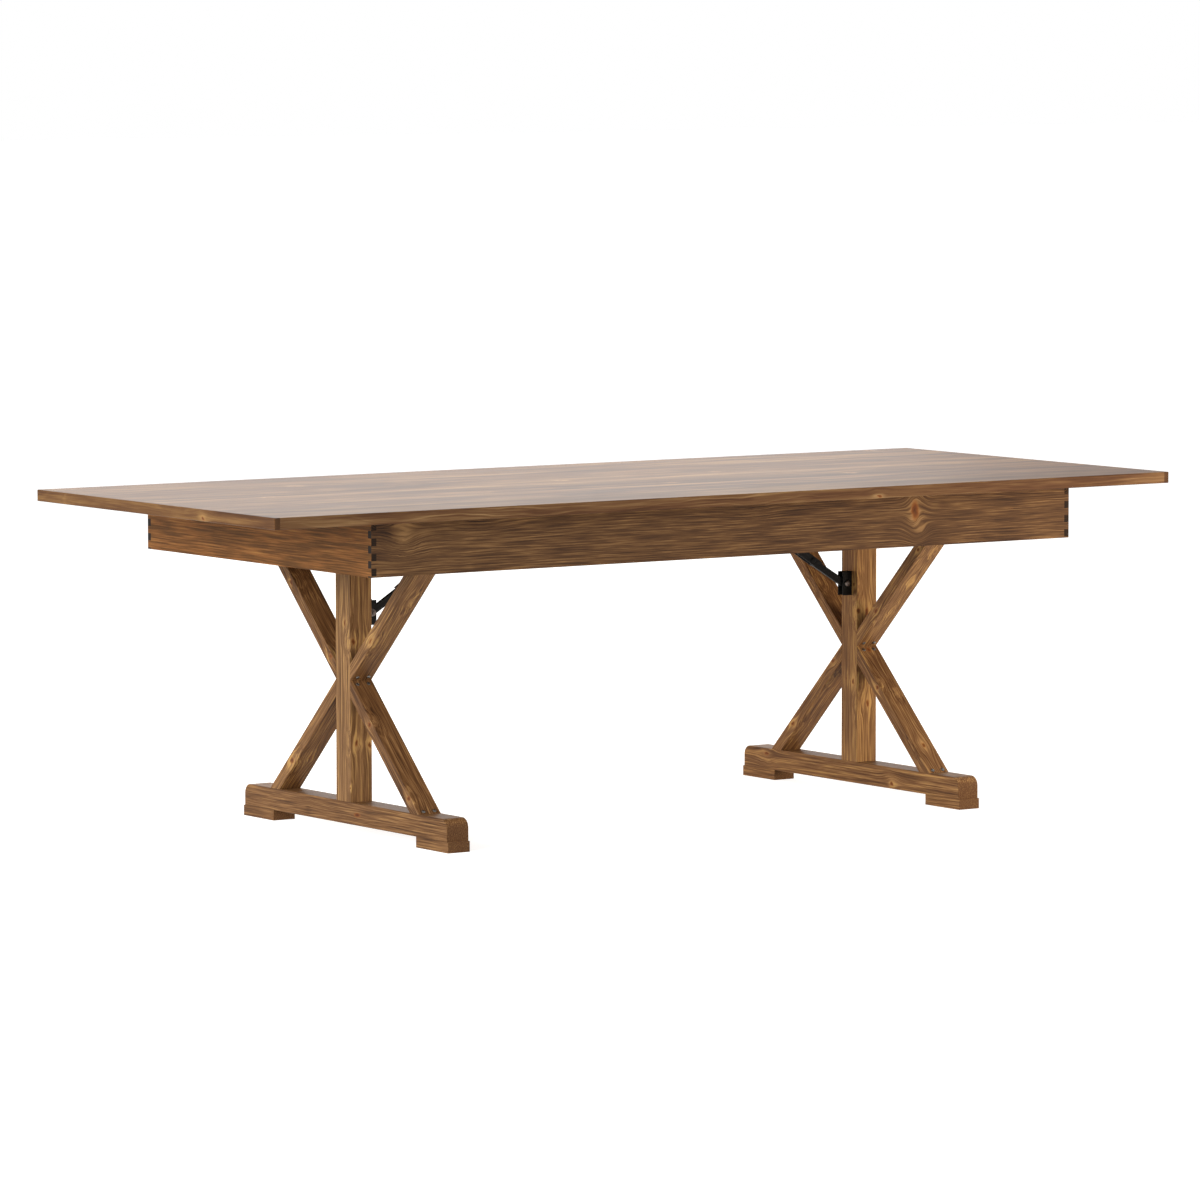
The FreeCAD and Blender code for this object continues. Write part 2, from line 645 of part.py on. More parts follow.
def make_upper_arm(side):
    """A deeper channel, open below, that hangs on the anchor bolt and covers the knee.

    Its web has a long window, through which the lower arm swings as the stay folds, and ends
    in a bridge that the open lower arm bears against.
    """
    name = f"stay_upper_arm_{side}"
    origin = (ANCHOR_X, ANCHOR_Z)
    angle = UPPER_ANGLE
    half = "Sizes.arm_rise"
    skirt = "Sizes.arm_drop"
    width = f"2 * {UPPER_HALF_WIDTH}"
    tip = f"({UPPER_LENGTH} + Sizes.knee_overlap)"
    body = new_body(name)
    sketch = attach(body, name + "_outline", "XZ_Plane")
    corners = [
        ("0", f"0 - {half}"),
        ("Sizes.skirt_taper", f"0 - {skirt}"),
        (f"{tip} - Sizes.knee_undercut", f"0 - {skirt}"),
        (f"{tip} - Sizes.knee_undercut / 4", f"{half} / 4"),
        (tip, half),
        ("0", half),
    ]
    draw_outline(sketch, [slanted(origin, angle, u, v) for u, v in corners])
    add_pad(body, name + "_bar", sketch, width, symmetric=True)
    pad_disc(body, f"{name}_heel", slanted(origin, angle, "0", "0"), half, width)
    inside = f"{width} - 2 * Sizes.arm_wall"
    hollow = attach(body, name + "_hollow", "XZ_Plane")
    before = f"0 - 2 * {half}"
    beyond = f"{tip} + {half}"
    web = f"{half} - Sizes.arm_wall"
    corners = [(before, before), (beyond, before), (beyond, web), (before, web)]
    draw_outline(hollow, [slanted(origin, angle, u, v) for u, v in corners])
    cut_pocket(body, name + "_trough", hollow, inside)
    window = attach(body, name + "_window", "XZ_Plane")
    start = f"{UPPER_LENGTH} - Sizes.window_reach"
    stop = f"{tip} - Sizes.bridge_length"
    below = f"{half} - 2 * Sizes.arm_wall"
    above = f"2 * {half}"
    corners = [(start, below), (stop, below), (stop, above), (start, above)]
    draw_outline(window, [slanted(origin, angle, u, v) for u, v in corners])
    cut_pocket(body, name + "_window_cut", window, inside)
    hole = attach(body, name + "_anchor_hole", "XZ_Plane")
    draw_circle(hole, origin, "Sizes.bolt_radius + Sizes.pin_play")
    cut_pocket(body, name + "_anchor_bore", hole, f"2 * ({width})")
    knee = attach(body, name + "_knee_hole", "XZ_Plane")
    draw_circle(knee, slanted(origin, angle, UPPER_LENGTH, "0"), "Sizes.rivet_radius")
    cut_pocket(body, name + "_knee_bore", knee, f"2 * ({width})")
    return finish(name, body, side)


def make_knee_rivets(side):
    """A short rivet in each cheek of the upper arm; neither reaches the lower arm."""
    x_expression, z_expression = slanted((ANCHOR_X, ANCHOR_Z), UPPER_ANGLE, UPPER_LENGTH, "0")
    x = value(x_expression)
    z = value(z_expression)
    outside = value(UPPER_HALF_WIDTH)
    wall = value("Sizes.arm_wall")
    head_height = value("Sizes.rivet_head_height")
    solids = []
    for sign in (-1, 1):
        face = sign * outside
        shank = cylinder(value("Sizes.rivet_radius"), wall, (x, face - sign * wall, z), (0, sign, 0))
        head = cylinder(value("Sizes.rivet_head_radius"), head_height, (x, face, z), (0, sign, 0))
        top = abs(face) + head_height
        rim = [e for e in head.Edges if e.Closed and abs(abs(e.CenterOfMass.y) - top) < TOLERANCE]
        head = head.makeFillet(head_height * 0.7, rim)
        solids.append(shank.fuse(head).removeSplitter())
    name = f"knee_rivets_{side}"
    finish(name, feature(name, Part.makeCompound(solids), side))


# ---------------------------------------------------------------- leg frame
def brace_screw_set():
    """Two screws at each end of each brace, square to the brace's outer face."""
    slope = math.radians(value("Sizes.brace_angle"))
    length = value("Sizes.brace_screw_length")
    crossing = value(CROSSING)
    rise = value(BRACE_RISE)
    half_post = value(HALF_POST)
    tip = value("Sizes.brace_screw_inset")
    foot = rise / math.cos(slope) - value("Sizes.brace_foot_inset")
    spread = value("Sizes.brace_screw_spread")
    middle = value(LEG_MIDDLE)
    rail_middle = value(RAIL_MIDDLE)
    rail_spread = value("Sizes.rail_thickness") / 4
    solids = []
    for y_sign in (-1, 1):
        for z_sign in (-1, 1):
            inward = (0, -y_sign * math.cos(slope), z_sign * math.sin(slope))
            at_rail = z_sign > 0
            foot_x = [rail_middle - rail_spread, rail_middle + rail_spread]
            if not at_rail:
                foot_x = [middle - spread, middle + spread]
            places = [(middle - spread, tip), (middle + spread, tip)]
            places += [(x, foot) for x in foot_x]
            for x, along in places:
                y = y_sign * (half_post + along * math.sin(slope))
                z = crossing + z_sign * along * math.cos(slope)
                solids.append(pan_screw((x, y, z), inward, length))
    return Part.makeCompound(solids)


def pad_screw_set():
    """Two screws up through each pad into the beam, their heads sunk below the floor face."""
    length = value("Sizes.pad_screw_length")
    recess = value("Sizes.pad_screw_recess")
    spread = value("Sizes.pad_screw_spread")
    x = value(LEG_MIDDLE)
    middle = value(HALF_BEAM) + value("Sizes.pad_overhang") - value("Sizes.pad_length") / 2
    solids = []
    for sign in (-1, 1):
        for shift in (-spread, spread):
            solids.append(pan_screw((x, sign * middle + shift, recess), (0, 0, 1), length))
    return Part.makeCompound(solids)


def pad_screw_wells(screws):
    """The holes that the sunk heads sit in, open to the floor."""
    radius = value("Sizes.screw_head_radius")
    recess = value("Sizes.pad_screw_recess")
    wells = [
        cylinder(radius, recess, (s.BoundBox.Center.x, s.BoundBox.Center.y, 0), (0, 0, 1))
        for s in screws.Solids
    ]
    return Part.makeCompound(wells)


def post_dowel_set():
    """Two dowels at each end of the post, half in the post and half in the beam or rail."""
    radius = value("Sizes.dowel_radius")
    depth = value("Sizes.dowel_depth")
    spread = value("Sizes.post_width") / 4
    solids = []
    for joint, x in ((value(BEAM_TOP), value(LEG_MIDDLE)), (value(APRON_FOOT), value(RAIL_MIDDLE))):
        for y in (-spread, spread):
            solids.append(cylinder(radius, 2 * depth, (x, y, joint - depth), (0, 0, 1)))
    return Part.makeCompound(solids)


def make_brace(name, y_sign, z_sign):
    """A brace, its heel on the post's side and its foot cut level on the beam or rail."""
    sign_y = "" if y_sign > 0 else "0 - "
    sign_z = "+" if z_sign > 0 else "-"

    def corner(out, rise):
        return (f"{sign_y}({HALF_POST} + {out})", f"{CROSSING} {sign_z} {rise}")

    outline = [
        corner("0", "0"),
        corner("0", BRACE_HEEL),
        corner(BRACE_IN, BRACE_RISE),
        corner(BRACE_OUT, BRACE_RISE),
    ]
    body = prism(name, "YZ_Plane", outline, LEG_INNER, LEG_OUTER)
    long_edge = value(BRACE_RISE)
    ease_edges(body, "Sizes.edge_ease", lambda edge: edge.Length > long_edge)
    return body


def make_foot_beam(name):
    half = HALF_BEAM
    outline = rectangle(f"0 - {half}", half, "Sizes.pad_height", BEAM_TOP)
    body = prism(name, "YZ_Plane", outline, LEG_INNER, LEG_OUTER)
    top = value(BEAM_TOP)
    reach = value(half)

    def end_corner(edge):
        at_end = lies_at(edge, "Y", reach) or lies_at(edge, "Y", -reach)
        return lies_at(edge, "Z", top) and at_end

    ease_edges(body, "Sizes.beam_round", end_corner)
    sides = (value(LEG_INNER), value(LEG_OUTER))
    ease_edges(body, "Sizes.edge_ease", lambda e: any(lies_at(e, "X", x) for x in sides))
    return body


def make_foot_pad(name, sign):
    far = f"({HALF_BEAM} + Sizes.pad_overhang)"
    near = f"({far} - Sizes.pad_length)"
    if sign < 0:
        far, near = f"(0 - {near})", f"(0 - {far})"
    outline = rectangle(LEG_INNER, LEG_OUTER, near, far)
    body = prism(name, "XY_Plane", outline, "0", "Sizes.pad_height")
    ease_edges(body, "Sizes.edge_ease / 2", lambda edge: not lies_at(edge, "Z", value("Sizes.pad_height")))
    return body


def make_leg(side):
    """One leg frame with its stay, drawn at the right-hand end and turned for the left."""
    brace_screws = feature(f"brace_screws_{side}", brace_screw_set(), side)
    pad_screws = feature(f"pad_screws_{side}", pad_screw_set(), side)
    wells = feature(f"pad_wells_{side}", pad_screw_wells(pad_screw_set()), side)
    dowels = feature(f"post_dowels_{side}", post_dowel_set(), side)
    leg_hardware = hinge_screws(fixed=False) + bracket_screws(
        (value(LEG_INNER), 0, value(LEG_BOLT_Z)), (-1, 0, 0), (0, 0, 1), 0
    )
    hardware = feature(f"leg_hardware_screws_{side}", Part.makeCompound(leg_hardware), side)
    for piece in (brace_screws, pad_screws, dowels, hardware):
        finish(piece.Name, piece)

    post = prism(
        f"post_{side}", "XY_Plane",
        rectangle(LEG_INNER, LEG_OUTER, f"0 - {HALF_POST}", HALF_POST), BEAM_TOP, APRON_FOOT,
    )
    ease_edges(post, "Sizes.edge_ease", lambda edge: runs_along(edge, "Z"))
    post.Placement = half_turn(side)
    finish(f"post_{side}", bored(post, brace_screws, dowels, hardware))

    rail = prism(
        f"top_rail_{side}", "XY_Plane",
        rectangle(RAIL_INNER, LEG_OUTER, f"0 - {HALF_BEAM}", HALF_BEAM), APRON_FOOT, RAIL_TOP,
    )
    rail.Placement = half_turn(side)
    finish(f"top_rail_{side}", bored(rail, brace_screws, dowels, hardware))

    beam = make_foot_beam(f"foot_beam_{side}")
    beam.Placement = half_turn(side)
    finish(f"foot_beam_{side}", bored(beam, brace_screws, dowels, pad_screws))

    # Front is the side of negative Y at both ends, so the half turn swaps the two signs.
    facing = {"front": -1, "rear": 1}
    swap = 1 if side == "right" else -1
    for place, sign in facing.items():
        for level, z_sign in (("upper", 1), ("lower", -1)):
            name = f"brace_{level}_{place}_{side}"
            brace = make_brace(name, sign * swap, z_sign)
            brace.Placement = half_turn(side)
            finish(name, bored(brace, brace_screws))
        name = f"foot_pad_{place}_{side}"
        pad = make_foot_pad(name, sign * swap)
        pad.Placement = half_turn(side)
        finish(name, bored(pad, pad_screws, wells))

    leaves = feature(f"hinge_leaves_leg_{side}_plain", hinge_leaves(fixed=False), side)
    finish(f"hinge_leaves_{side}_leg", bored(leaves, hardware))

    outline = [(x, y) for y, x in channel_outline(
        LEG_INNER, "-1", "Sizes.bracket_width / 2", "Sizes.bracket_wall", "Sizes.bracket_depth"
    )]
    half_bracket = "Sizes.bracket_length / 2"
    bracket = make_bracket(
        f"leg_bracket_{side}", "XY_Plane", outline,
        f"{LEG_BOLT_Z} - {half_bracket}", f"{LEG_BOLT_Z} + {half_bracket}",
        (LEG_BOLT_X, LEG_BOLT_Z),
    )
    bracket.Placement = half_turn(side)
    finish(f"leg_bracket_{side}", bored(bracket, hardware))

    spacer = value(f"{BRACKET_INSIDE} - Sizes.lower_arm_width / 2 - Sizes.moving_gap")
    bolt = bolt_set(value(LEG_BOLT_X), value(LEG_BOLT_Z), spacer)
    finish(f"leg_bolt_{side}", feature(f"leg_bolt_{side}", Part.makeCompound(bolt), side))

    make_lower_arm(side)
    make_upper_arm(side)
    make_knee_rivets(side)


# ---------------------------------------------------------------- what the top carries for the legs
def make_top_hardware():
    """Hinge cleats, fixed hinge leaves, pins, anchor brackets and their bolts and screws."""
    anchor_screws = bracket_screws(
        (value(ANCHOR_X), 0, value(UNDERSIDE)), (0, 0, -1), (1, 0, 0), 0
    )
    screws = Part.makeCompound(hinge_screws(fixed=True) + anchor_screws)
    hardware = feature("top_hardware_screws", both_ends(screws))
    finish("top_hardware_screws", hardware)

    brackets = []
    for side in TURNS:
        name = f"hinge_cleat_{side}"
        outline = rectangle(RAIL_INNER, LEG_OUTER, f"0 - {INSIDE_SIDE}", INSIDE_SIDE)
        cleat = prism(name, "XY_Plane", outline, RAIL_TOP, UNDERSIDE)
        cleat.Placement = half_turn(side)
        finish(name, bored(cleat, hardware))

        outline = channel_outline(
            UNDERSIDE, "-1", "Sizes.bracket_width / 2", "Sizes.bracket_wall", "Sizes.bracket_depth"
        )
        half_bracket = "Sizes.bracket_length / 2"
        bracket = make_bracket(
            f"anchor_bracket_{side}", "YZ_Plane", outline,
            f"{ANCHOR_X} - {half_bracket}", f"{ANCHOR_X} + {half_bracket}", (ANCHOR_X, ANCHOR_Z),
        )
        bracket.Placement = half_turn(side)
        brackets.append(bored(bracket, hardware))
    finish_group("anchor_brackets", *brackets)

    leaves = feature("hinge_leaves_top_plain", both_ends(hinge_leaves(fixed=True)))
    finish("hinge_leaves_top", bored(leaves, hardware))
    finish("hinge_pins", feature("hinge_pins", both_ends(hinge_pins())))
    bolts = Part.makeCompound(bolt_set(value(ANCHOR_X), value(ANCHOR_Z), 0))
    finish("anchor_bolts", feature("anchor_bolts", both_ends(bolts)))

    # The anchor screws reach up into the planks above them.
    for label in [label for label in finished if label.startswith("top_board_")]:
        board = finished[label]
        if board.Shape.common(hardware.Shape).Volume > 1:
            board.Label = label + "_plain"
            finish(label, bored(board, hardware))


make_top_boards()
make_end_lippings()
make_apron_box()
make_battens()
make_corner_blocks()
make_top_hardware()
for leg_side in TURNS:
    make_leg(leg_side)

# ---------------------------------------------------------------- check and write
doc.recompute()
failed = [item.Name for item in doc.Objects if {"Invalid", "Error"} & set(item.State)]
failed += [label for label, piece in finished.items() if piece.Shape.isNull() or not piece.Shape.isValid()]
assert not failed, f"failed: {failed}"
os.makedirs("parts", exist_ok=True)
for label, piece in finished.items():
    piece.Shape.exportStep(f"parts/{label}.step")
print(len(finished), "sub-parts written")
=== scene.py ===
"""Dresses the folding sawbuck table: stained pine, black steel stays and zinc fasteners.

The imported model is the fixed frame: X runs along the table, Y across it and Z up, in metres.
Sizes in this file are in millimetres, and MM turns them into metres where a mesh is made.
"""

import logging
import math
from dataclasses import dataclass, replace
from enum import Enum

import bmesh
import bpy
import numpy as np
from bmesh.types import BMesh
from bpy.types import Material, Mesh, Node, NodeOutputs, NodeSocket, NodeTree, Object
from mathutils import Matrix, Vector


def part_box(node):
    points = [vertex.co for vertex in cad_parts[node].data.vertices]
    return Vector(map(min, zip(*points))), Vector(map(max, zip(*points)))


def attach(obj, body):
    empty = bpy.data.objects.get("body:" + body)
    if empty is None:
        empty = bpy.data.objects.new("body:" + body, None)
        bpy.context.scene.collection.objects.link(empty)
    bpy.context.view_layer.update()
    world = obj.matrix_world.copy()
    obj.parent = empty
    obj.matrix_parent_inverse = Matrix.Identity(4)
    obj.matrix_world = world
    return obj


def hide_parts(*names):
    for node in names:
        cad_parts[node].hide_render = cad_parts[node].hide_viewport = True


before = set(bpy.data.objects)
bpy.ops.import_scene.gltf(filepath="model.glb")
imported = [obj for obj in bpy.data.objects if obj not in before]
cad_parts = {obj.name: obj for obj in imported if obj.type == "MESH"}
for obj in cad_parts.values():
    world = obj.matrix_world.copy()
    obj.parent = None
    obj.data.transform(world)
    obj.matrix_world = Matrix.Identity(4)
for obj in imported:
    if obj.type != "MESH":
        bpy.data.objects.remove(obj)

MM = 0.001
FAR = 9e3  # further than any piece reaches, in mm
SHARP = math.radians(35)  # an edge that turns by more than this stays sharp
WELD = 1e-6  # corners closer together than this, in metres, are one
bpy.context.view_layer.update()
log = logging.getLogger("sawbuck table")

Place = tuple[float, float, float]
Rings = list[list[Vector]]


# ---------------------------------------------------------------- colours and nodes
def linear(hex_colour: str) -> tuple[float, float, float, float]:
    """Turns an sRGB hex colour into linear light.

    Args:
        hex_colour: a colour such as "#86653f".

    Returns:
        Red, green, blue and an alpha of one.
    """
    shares = [int(hex_colour[i:i + 2], 16) / 255 for i in (1, 3, 5)]
    red, green, blue = (c / 12.92 if c <= 0.04045 else ((c + 0.055) / 1.055) ** 2.4 for c in shares)
    return red, green, blue, 1.0


def add(
    tree: NodeTree,
    kind: str,
    links: dict | None = None,
    stops: list[tuple[float, str]] | None = None,
    **settings: object,
) -> Node:
    """Adds a node with its settings and links.

    Args:
        tree: the node tree that gets the node.
        kind: the node's type.
        links: for an input's name or number, a value, a socket, or a node to link from.
        stops: places and hex colours of a colour ramp.
        settings: other attributes of the node.

    Returns:
        The new node.
    """
    node = tree.nodes.new(kind)
    for name, setting in settings.items():
        setattr(node, name, setting)
    for key, given in (links or {}).items():
        named = isinstance(key, str)
        socket = next(s for s in node.inputs if s.enabled and s.name == key) if named else node.inputs[key]
        if isinstance(given, Node):
            given = next(s for s in given.outputs if s.enabled)
        if isinstance(given, NodeSocket):
            tree.links.new(given, socket)
        else:
            socket.default_value = given
    if stops:
        elements = node.color_ramp.elements
        while len(elements) < len(stops):
            elements.new(0.5)
        for element, (position, colour) in zip(elements, stops):
            element.position = position
            element.color = linear(colour)
    return node


def maths(tree: NodeTree, operation: str, *operands: object) -> Node:
    """Adds a node that calculates with numbers."""
    return add(tree, "ShaderNodeMath", dict(enumerate(operands)), operation=operation)


def vectors(tree: NodeTree, operation: str, *operands: object) -> Node:
    """Adds a node that calculates with vectors, or scales one by a number."""
    keys = (0, "Scale") if operation == "SCALE" else range(len(operands))
    return add(tree, "ShaderNodeVectorMath", dict(zip(keys, operands)), operation=operation)


def ranged(
    tree: NodeTree, value: object, start: object = 0.0, end: object = 1.0, low: float = 0.0, high: float = 1.0
) -> Node:
    """Adds a node that carries the range from start to end over to that from low to high."""
    links = {"Value": value, "From Min": start, "From Max": end, "To Min": low, "To Max": high}
    return add(tree, "ShaderNodeMapRange", links)


def mixed(tree: NodeTree, share: object, first: object, second: object) -> NodeSocket:
    """Adds a node that lays a share of the second colour over the first."""
    return add(tree, "ShaderNodeMix", {0: share, 6: first, 7: second}, data_type="RGBA").outputs[2]


def emptied(owner: Material | bpy.types.World) -> NodeTree:
    """The cleared node tree of a material or a world."""
    owner.use_nodes = True
    owner.node_tree.nodes.clear()
    return owner.node_tree


def in_millimetres(tree: NodeTree, source: Node, **turned: object) -> Node:
    """Adds a mapping of the object's coordinates that is measured in millimetres."""
    links = {"Vector": source.outputs["Object"], **turned, "Scale": (1 / MM,) * 3}
    return add(tree, "ShaderNodeMapping", links)


# ---------------------------------------------------------------- wood: what each piece is cut from
@dataclass(frozen=True)
class Knot:
    """A branch stub: its middle in the table's frame, its radius, and its shape.

    The stretch is its length along the grain, for each millimetre across it. The heart is the
    share of the radius that is dark wood. A ragged knot's outline strays from an oval by up to
    half that share of its radius. The lift pales the swirling wood round the stub with resin, or
    darkens it where less than nought. The bend is how far the fibres part round it, up to 1.
    """

    place: Place
    radius: float
    stretch: float = 1.5
    heart: float = 0.42
    ragged: float = 1.3
    lift: float = 0.5
    bend: float = 0.85


@dataclass(frozen=True)
class Grain:
    """How a piece lies in the tree it came from.

    The pith is the heart of the tree, measured from the middle of the piece. The rings show
    strongly within the core, and past the sapwood radius the wood is pale. The seams are the
    glue lines beside the piece: the middle and the half size of the box that they bound. The
    shade is how much paler than the rest of its finish the piece is, or darker below nought.
    """

    along: Place
    pith: Place
    seed: int
    knots: tuple[Knot, ...] = ()
    core: float = 70.0
    sapwood: float = FAR
    seam_middle: Place = (0, 0, 0)
    seam_half: Place = (FAR, FAR, FAR)
    shade: float = 0.0


@dataclass(frozen=True)
class WoodFinish:
    """A stain and varnish on planed wood, with the strength of each part of its figure."""

    title: str
    slot: str
    tones: tuple[str, str, str, str]  # from the darkest streak to the palest
    end_grain: str
    end_share: float = 0.5
    ring_width: float = 9.0
    wander: float = 60.0
    curl: float = 9.0
    lines: float = 0.3
    fibres: float = 0.5
    streaks: float = 0.5
    blotches: float = 0.5
    roughness: float = 0.5
    sheen_level: float = 0.2
    knot_colours: tuple[str, str, str] = ("#3c1d10", "#633519", "#875329")  # from the middle to the rim


class Finish(Enum):
    """The woods of the table."""

    # Pine planks, planed and sanded, stained antique brown and sprayed with satin varnish: soft
    # brown streaks, paler sapwood, and a sheen that whitens the surface at a low angle.
    TOP = WoodFinish(
        "stained pine top", "pine_top", ("#2f1c0e", "#563923", "#6d4c30", "#a07e55"), "#4a3422",
        end_share=0.6, fibres=1.1, streaks=0.66, blotches=0.22, lines=0.2, roughness=0.42, sheen_level=0.12,
    )
    # The end lippings took more of the stain: one shade darker and warmer.
    TOP_RIM = WoodFinish(
        "stained pine top rim", "pine_top", ("#2a180a", "#4d3019", "#624224", "#8f6c40"), "#4a3422",
        end_share=0.6, streaks=0.7, blotches=0.3, lines=0.2, roughness=0.42, sheen_level=0.1,
    )
    # The front plank is cut from a paler stick, and the stain went greyer on it.
    TOP_FRONT = replace(
        TOP_RIM, title="stained pine front plank", tones=("#2e1d10", "#543824", "#6a4d32", "#9b7c55"),
    )
    # The same stain on thinner boards took unevenly: dark blotches, and fine curly lines near
    # the heart of the tree.
    APRON = WoodFinish(
        "stained pine apron", "pine_apron", ("#2c1e16", "#4d3624", "#62472e", "#92704a"), "#191512",
        end_share=0.97, ring_width=4.5, wander=16.0, curl=6.0, lines=-0.4, fibres=1.4, streaks=0.2,
        blotches=0.4, sheen_level=0.1,
    )
    # The short end boards of the apron take the same stain, painted paler and more orange: painted light, for
    # the light that falls on the ends of the table.
    APRON_END = replace(
        APRON, title="stained pine apron end", tones=("#3d2713", "#674422", "#87582f", "#b48047"),
        lines=-0.35, fibres=1.15, sheen_level=0.08,
    )
    # Squared pine sticks of the legs: a warmer brown with knots and thin pale growth lines.
    LEG = WoodFinish(
        "stained pine leg", "pine_leg", ("#3c2617", "#68482b", "#7f5c3b", "#b48d56"), "#4f3523",
        end_share=0.6, ring_width=5.0, wander=14.0, curl=2.5, lines=0.26, fibres=1.4, streaks=0.12,
        blotches=0.2, sheen_level=0.1,
    )
    # One post came from a greener stick.
    POST = replace(
        LEG, title="stained pine post", tones=("#3c2617", "#684a2c", "#7f5d3d", "#b28c56"), end_grain="#472f1e",
    )
    # Hidden battens and blocks took one thin coat of stain and no varnish: paler and matt.
    UNDERSIDE = WoodFinish(
        "thinly stained pine", "pine_underside", ("#644629", "#8d6a44", "#a27f56", "#bd9a70"), "#7a5836",
        roughness=0.65, sheen_level=0.15,
    )
    # Turned beech dowels, bare: pale and even.
    DOWEL = WoodFinish(
        "bare beech", "dowel_beech", ("#a88358", "#bd986b", "#c8a578", "#d2b186"), "#a07a50",
        ring_width=2.0, lines=0.1, blotches=0.2, roughness=0.6,
    )


class PineFigure:
    """The pattern inside a sawn piece of wood, shared by all woods as two node groups."""

    stride: Place = (311.7, 173.3, 97.1)  # how far apart in the tree two seeds lie, in mm
    tone_stops: tuple[float, ...] = (0.05, 0.4, 0.6, 0.98)  # where the finish's four tones lie
    knot_stops: tuple[float, ...] = (0.0, 0.55, 1.0)
    # Each noise: its length along the grain and its width across it, in mm, and its detail.
    wander: Place = (900, 240, 1.0)
    curl: Place = (120, 60, 1.0)
    ripple: Place = (90, 12, 2.0)
    fibre: Place = (120, 3.0, 3.0)
    streak: Place = (520, 24, 3.0)
    blotch: Place = (150, 45, 3.0)
    mottle: Place = (24, 13, 2.0)
    seam_colour: str = "#2c1d12"
    relief: float = 0.4  # how high the varnish may stand over the hard lines, in mm

    def __init__(self) -> None:
        """Builds both groups."""
        self.figure = self._figure_group()
        self.knot = self._knot_group()

    @staticmethod
    def _group(
        title: str, inputs: list[tuple[str, str]], outputs: list[tuple[str, str]]
    ) -> tuple[NodeTree, NodeOutputs]:
        """Makes an empty shader group.

        Args:
            title: the group's name.
            inputs: each input's name and kind, Vector or Float.
            outputs: each output's name and kind.

        Returns:
            The group and what it is given.
        """
        tree = bpy.data.node_groups.new(title, "ShaderNodeTree")
        for way, sockets in (("INPUT", inputs), ("OUTPUT", outputs)):
            for name, kind in sockets:
                tree.interface.new_socket(name=name, in_out=way, socket_type=f"NodeSocket{kind}")
        return tree, tree.nodes.new("NodeGroupInput").outputs

    @staticmethod
    def _stretched(tree: NodeTree, place: object, length: float, width: float, detail: float) -> Node:
        """A noise whose grains are this long along the wood and this wide across it, in mm."""
        scale = (1 / length, 1 / width, 1 / width)
        shrunk = vectors(tree, "MULTIPLY", place, scale)
        return add(tree, "ShaderNodeTexNoise", {"Vector": shrunk, "Scale": 1.0, "Detail": detail})

    def _sway(self, tree: NodeTree, place: object, noise: Place, reach: object) -> Node:
        """A slow sideways sway across the grain, up to half the reach either way, in mm."""
        pull = self._stretched(tree, place, *noise).outputs["Color"]
        centred = vectors(tree, "SUBTRACT", pull, (0.5,) * 3)
        scaled = vectors(tree, "SCALE", centred, reach)
        return vectors(tree, "MULTIPLY", scaled, (0, 2, 2))

    def _figure_group(self) -> NodeTree:
        """The growth rings, fibres, streaks and blotches of a piece whose grain runs along X."""
        inputs = [(name, "Vector") for name in ("Place", "Shift", "Pith")]
        strengths = ("Lines", "Fibres", "Streaks", "Blotches")
        inputs += [(name, "Float") for name in ("Ring width", "Core", "Sapwood", "Wander", "Curl", *strengths)]
        tree, out = self._group("sawn pine", inputs, [(name, "Float") for name in ("Tone", "Ring", "Fibre")])
        moved = vectors(tree, "ADD", out["Place"], out["Shift"])

        # The trunk was never quite straight, so the saw cut arches into the wide faces.
        heart = vectors(tree, "SUBTRACT", out["Place"], out["Pith"])
        slow = self._sway(tree, moved, self.wander, out["Wander"])
        quick = self._sway(tree, moved, self.curl, out["Curl"])
        heart = vectors(tree, "ADD", heart, slow)
        heart = vectors(tree, "ADD", heart, quick)
        across = vectors(tree, "MULTIPLY", heart, (0, 1, 1))
        radius = vectors(tree, "LENGTH", across).outputs["Value"]
        ripple = self._stretched(tree, moved, *self.ripple)
        rippled = maths(tree, "MULTIPLY_ADD", ripple, 3.0, radius)
        count = maths(tree, "DIVIDE", rippled, out["Ring width"])

        # The soft early wood drinks the stain; the hard late line of each ring stays pale.
        share = maths(tree, "FRACT", count)
        line = add(
            tree, "ShaderNodeValToRGB", {0: share},
            stops=[
                (0.0, "#b4b4b4"), (0.12, "#aeaeae"), (0.5, "#a0a0a0"),
                (0.74, "#606060"), (0.85, "#ffffff"), (0.93, "#f0f0f0"),
            ],
        )
        links = {"W": count, "Scale": 0.37, "Detail": 1.0}
        year = add(tree, "ShaderNodeTexNoise", links, noise_dimensions="1D")
        strong = ranged(tree, year, 0.3, 0.7, 0.2)
        fades = ranged(tree, radius, out["Core"], maths(tree, "MULTIPLY", out["Core"], 2.0), 1.0, 0.25)
        middle = maths(tree, "SUBTRACT", line, 0.45)
        ring = maths(tree, "MULTIPLY", middle, strong)
        ring = maths(tree, "MULTIPLY", ring, fades)

        fibre = self._stretched(tree, moved, *self.fibre)
        fibre.inputs["Roughness"].default_value = 0.6
        along = add(tree, "ShaderNodeSeparateXYZ", {0: moved})
        bands = add(tree, "ShaderNodeCombineXYZ", {"X": along, "Y": rippled, "Z": along.outputs["Z"]})
        streak = self._stretched(tree, bands, *self.streak)
        blotch = self._stretched(tree, moved, *self.blotch)

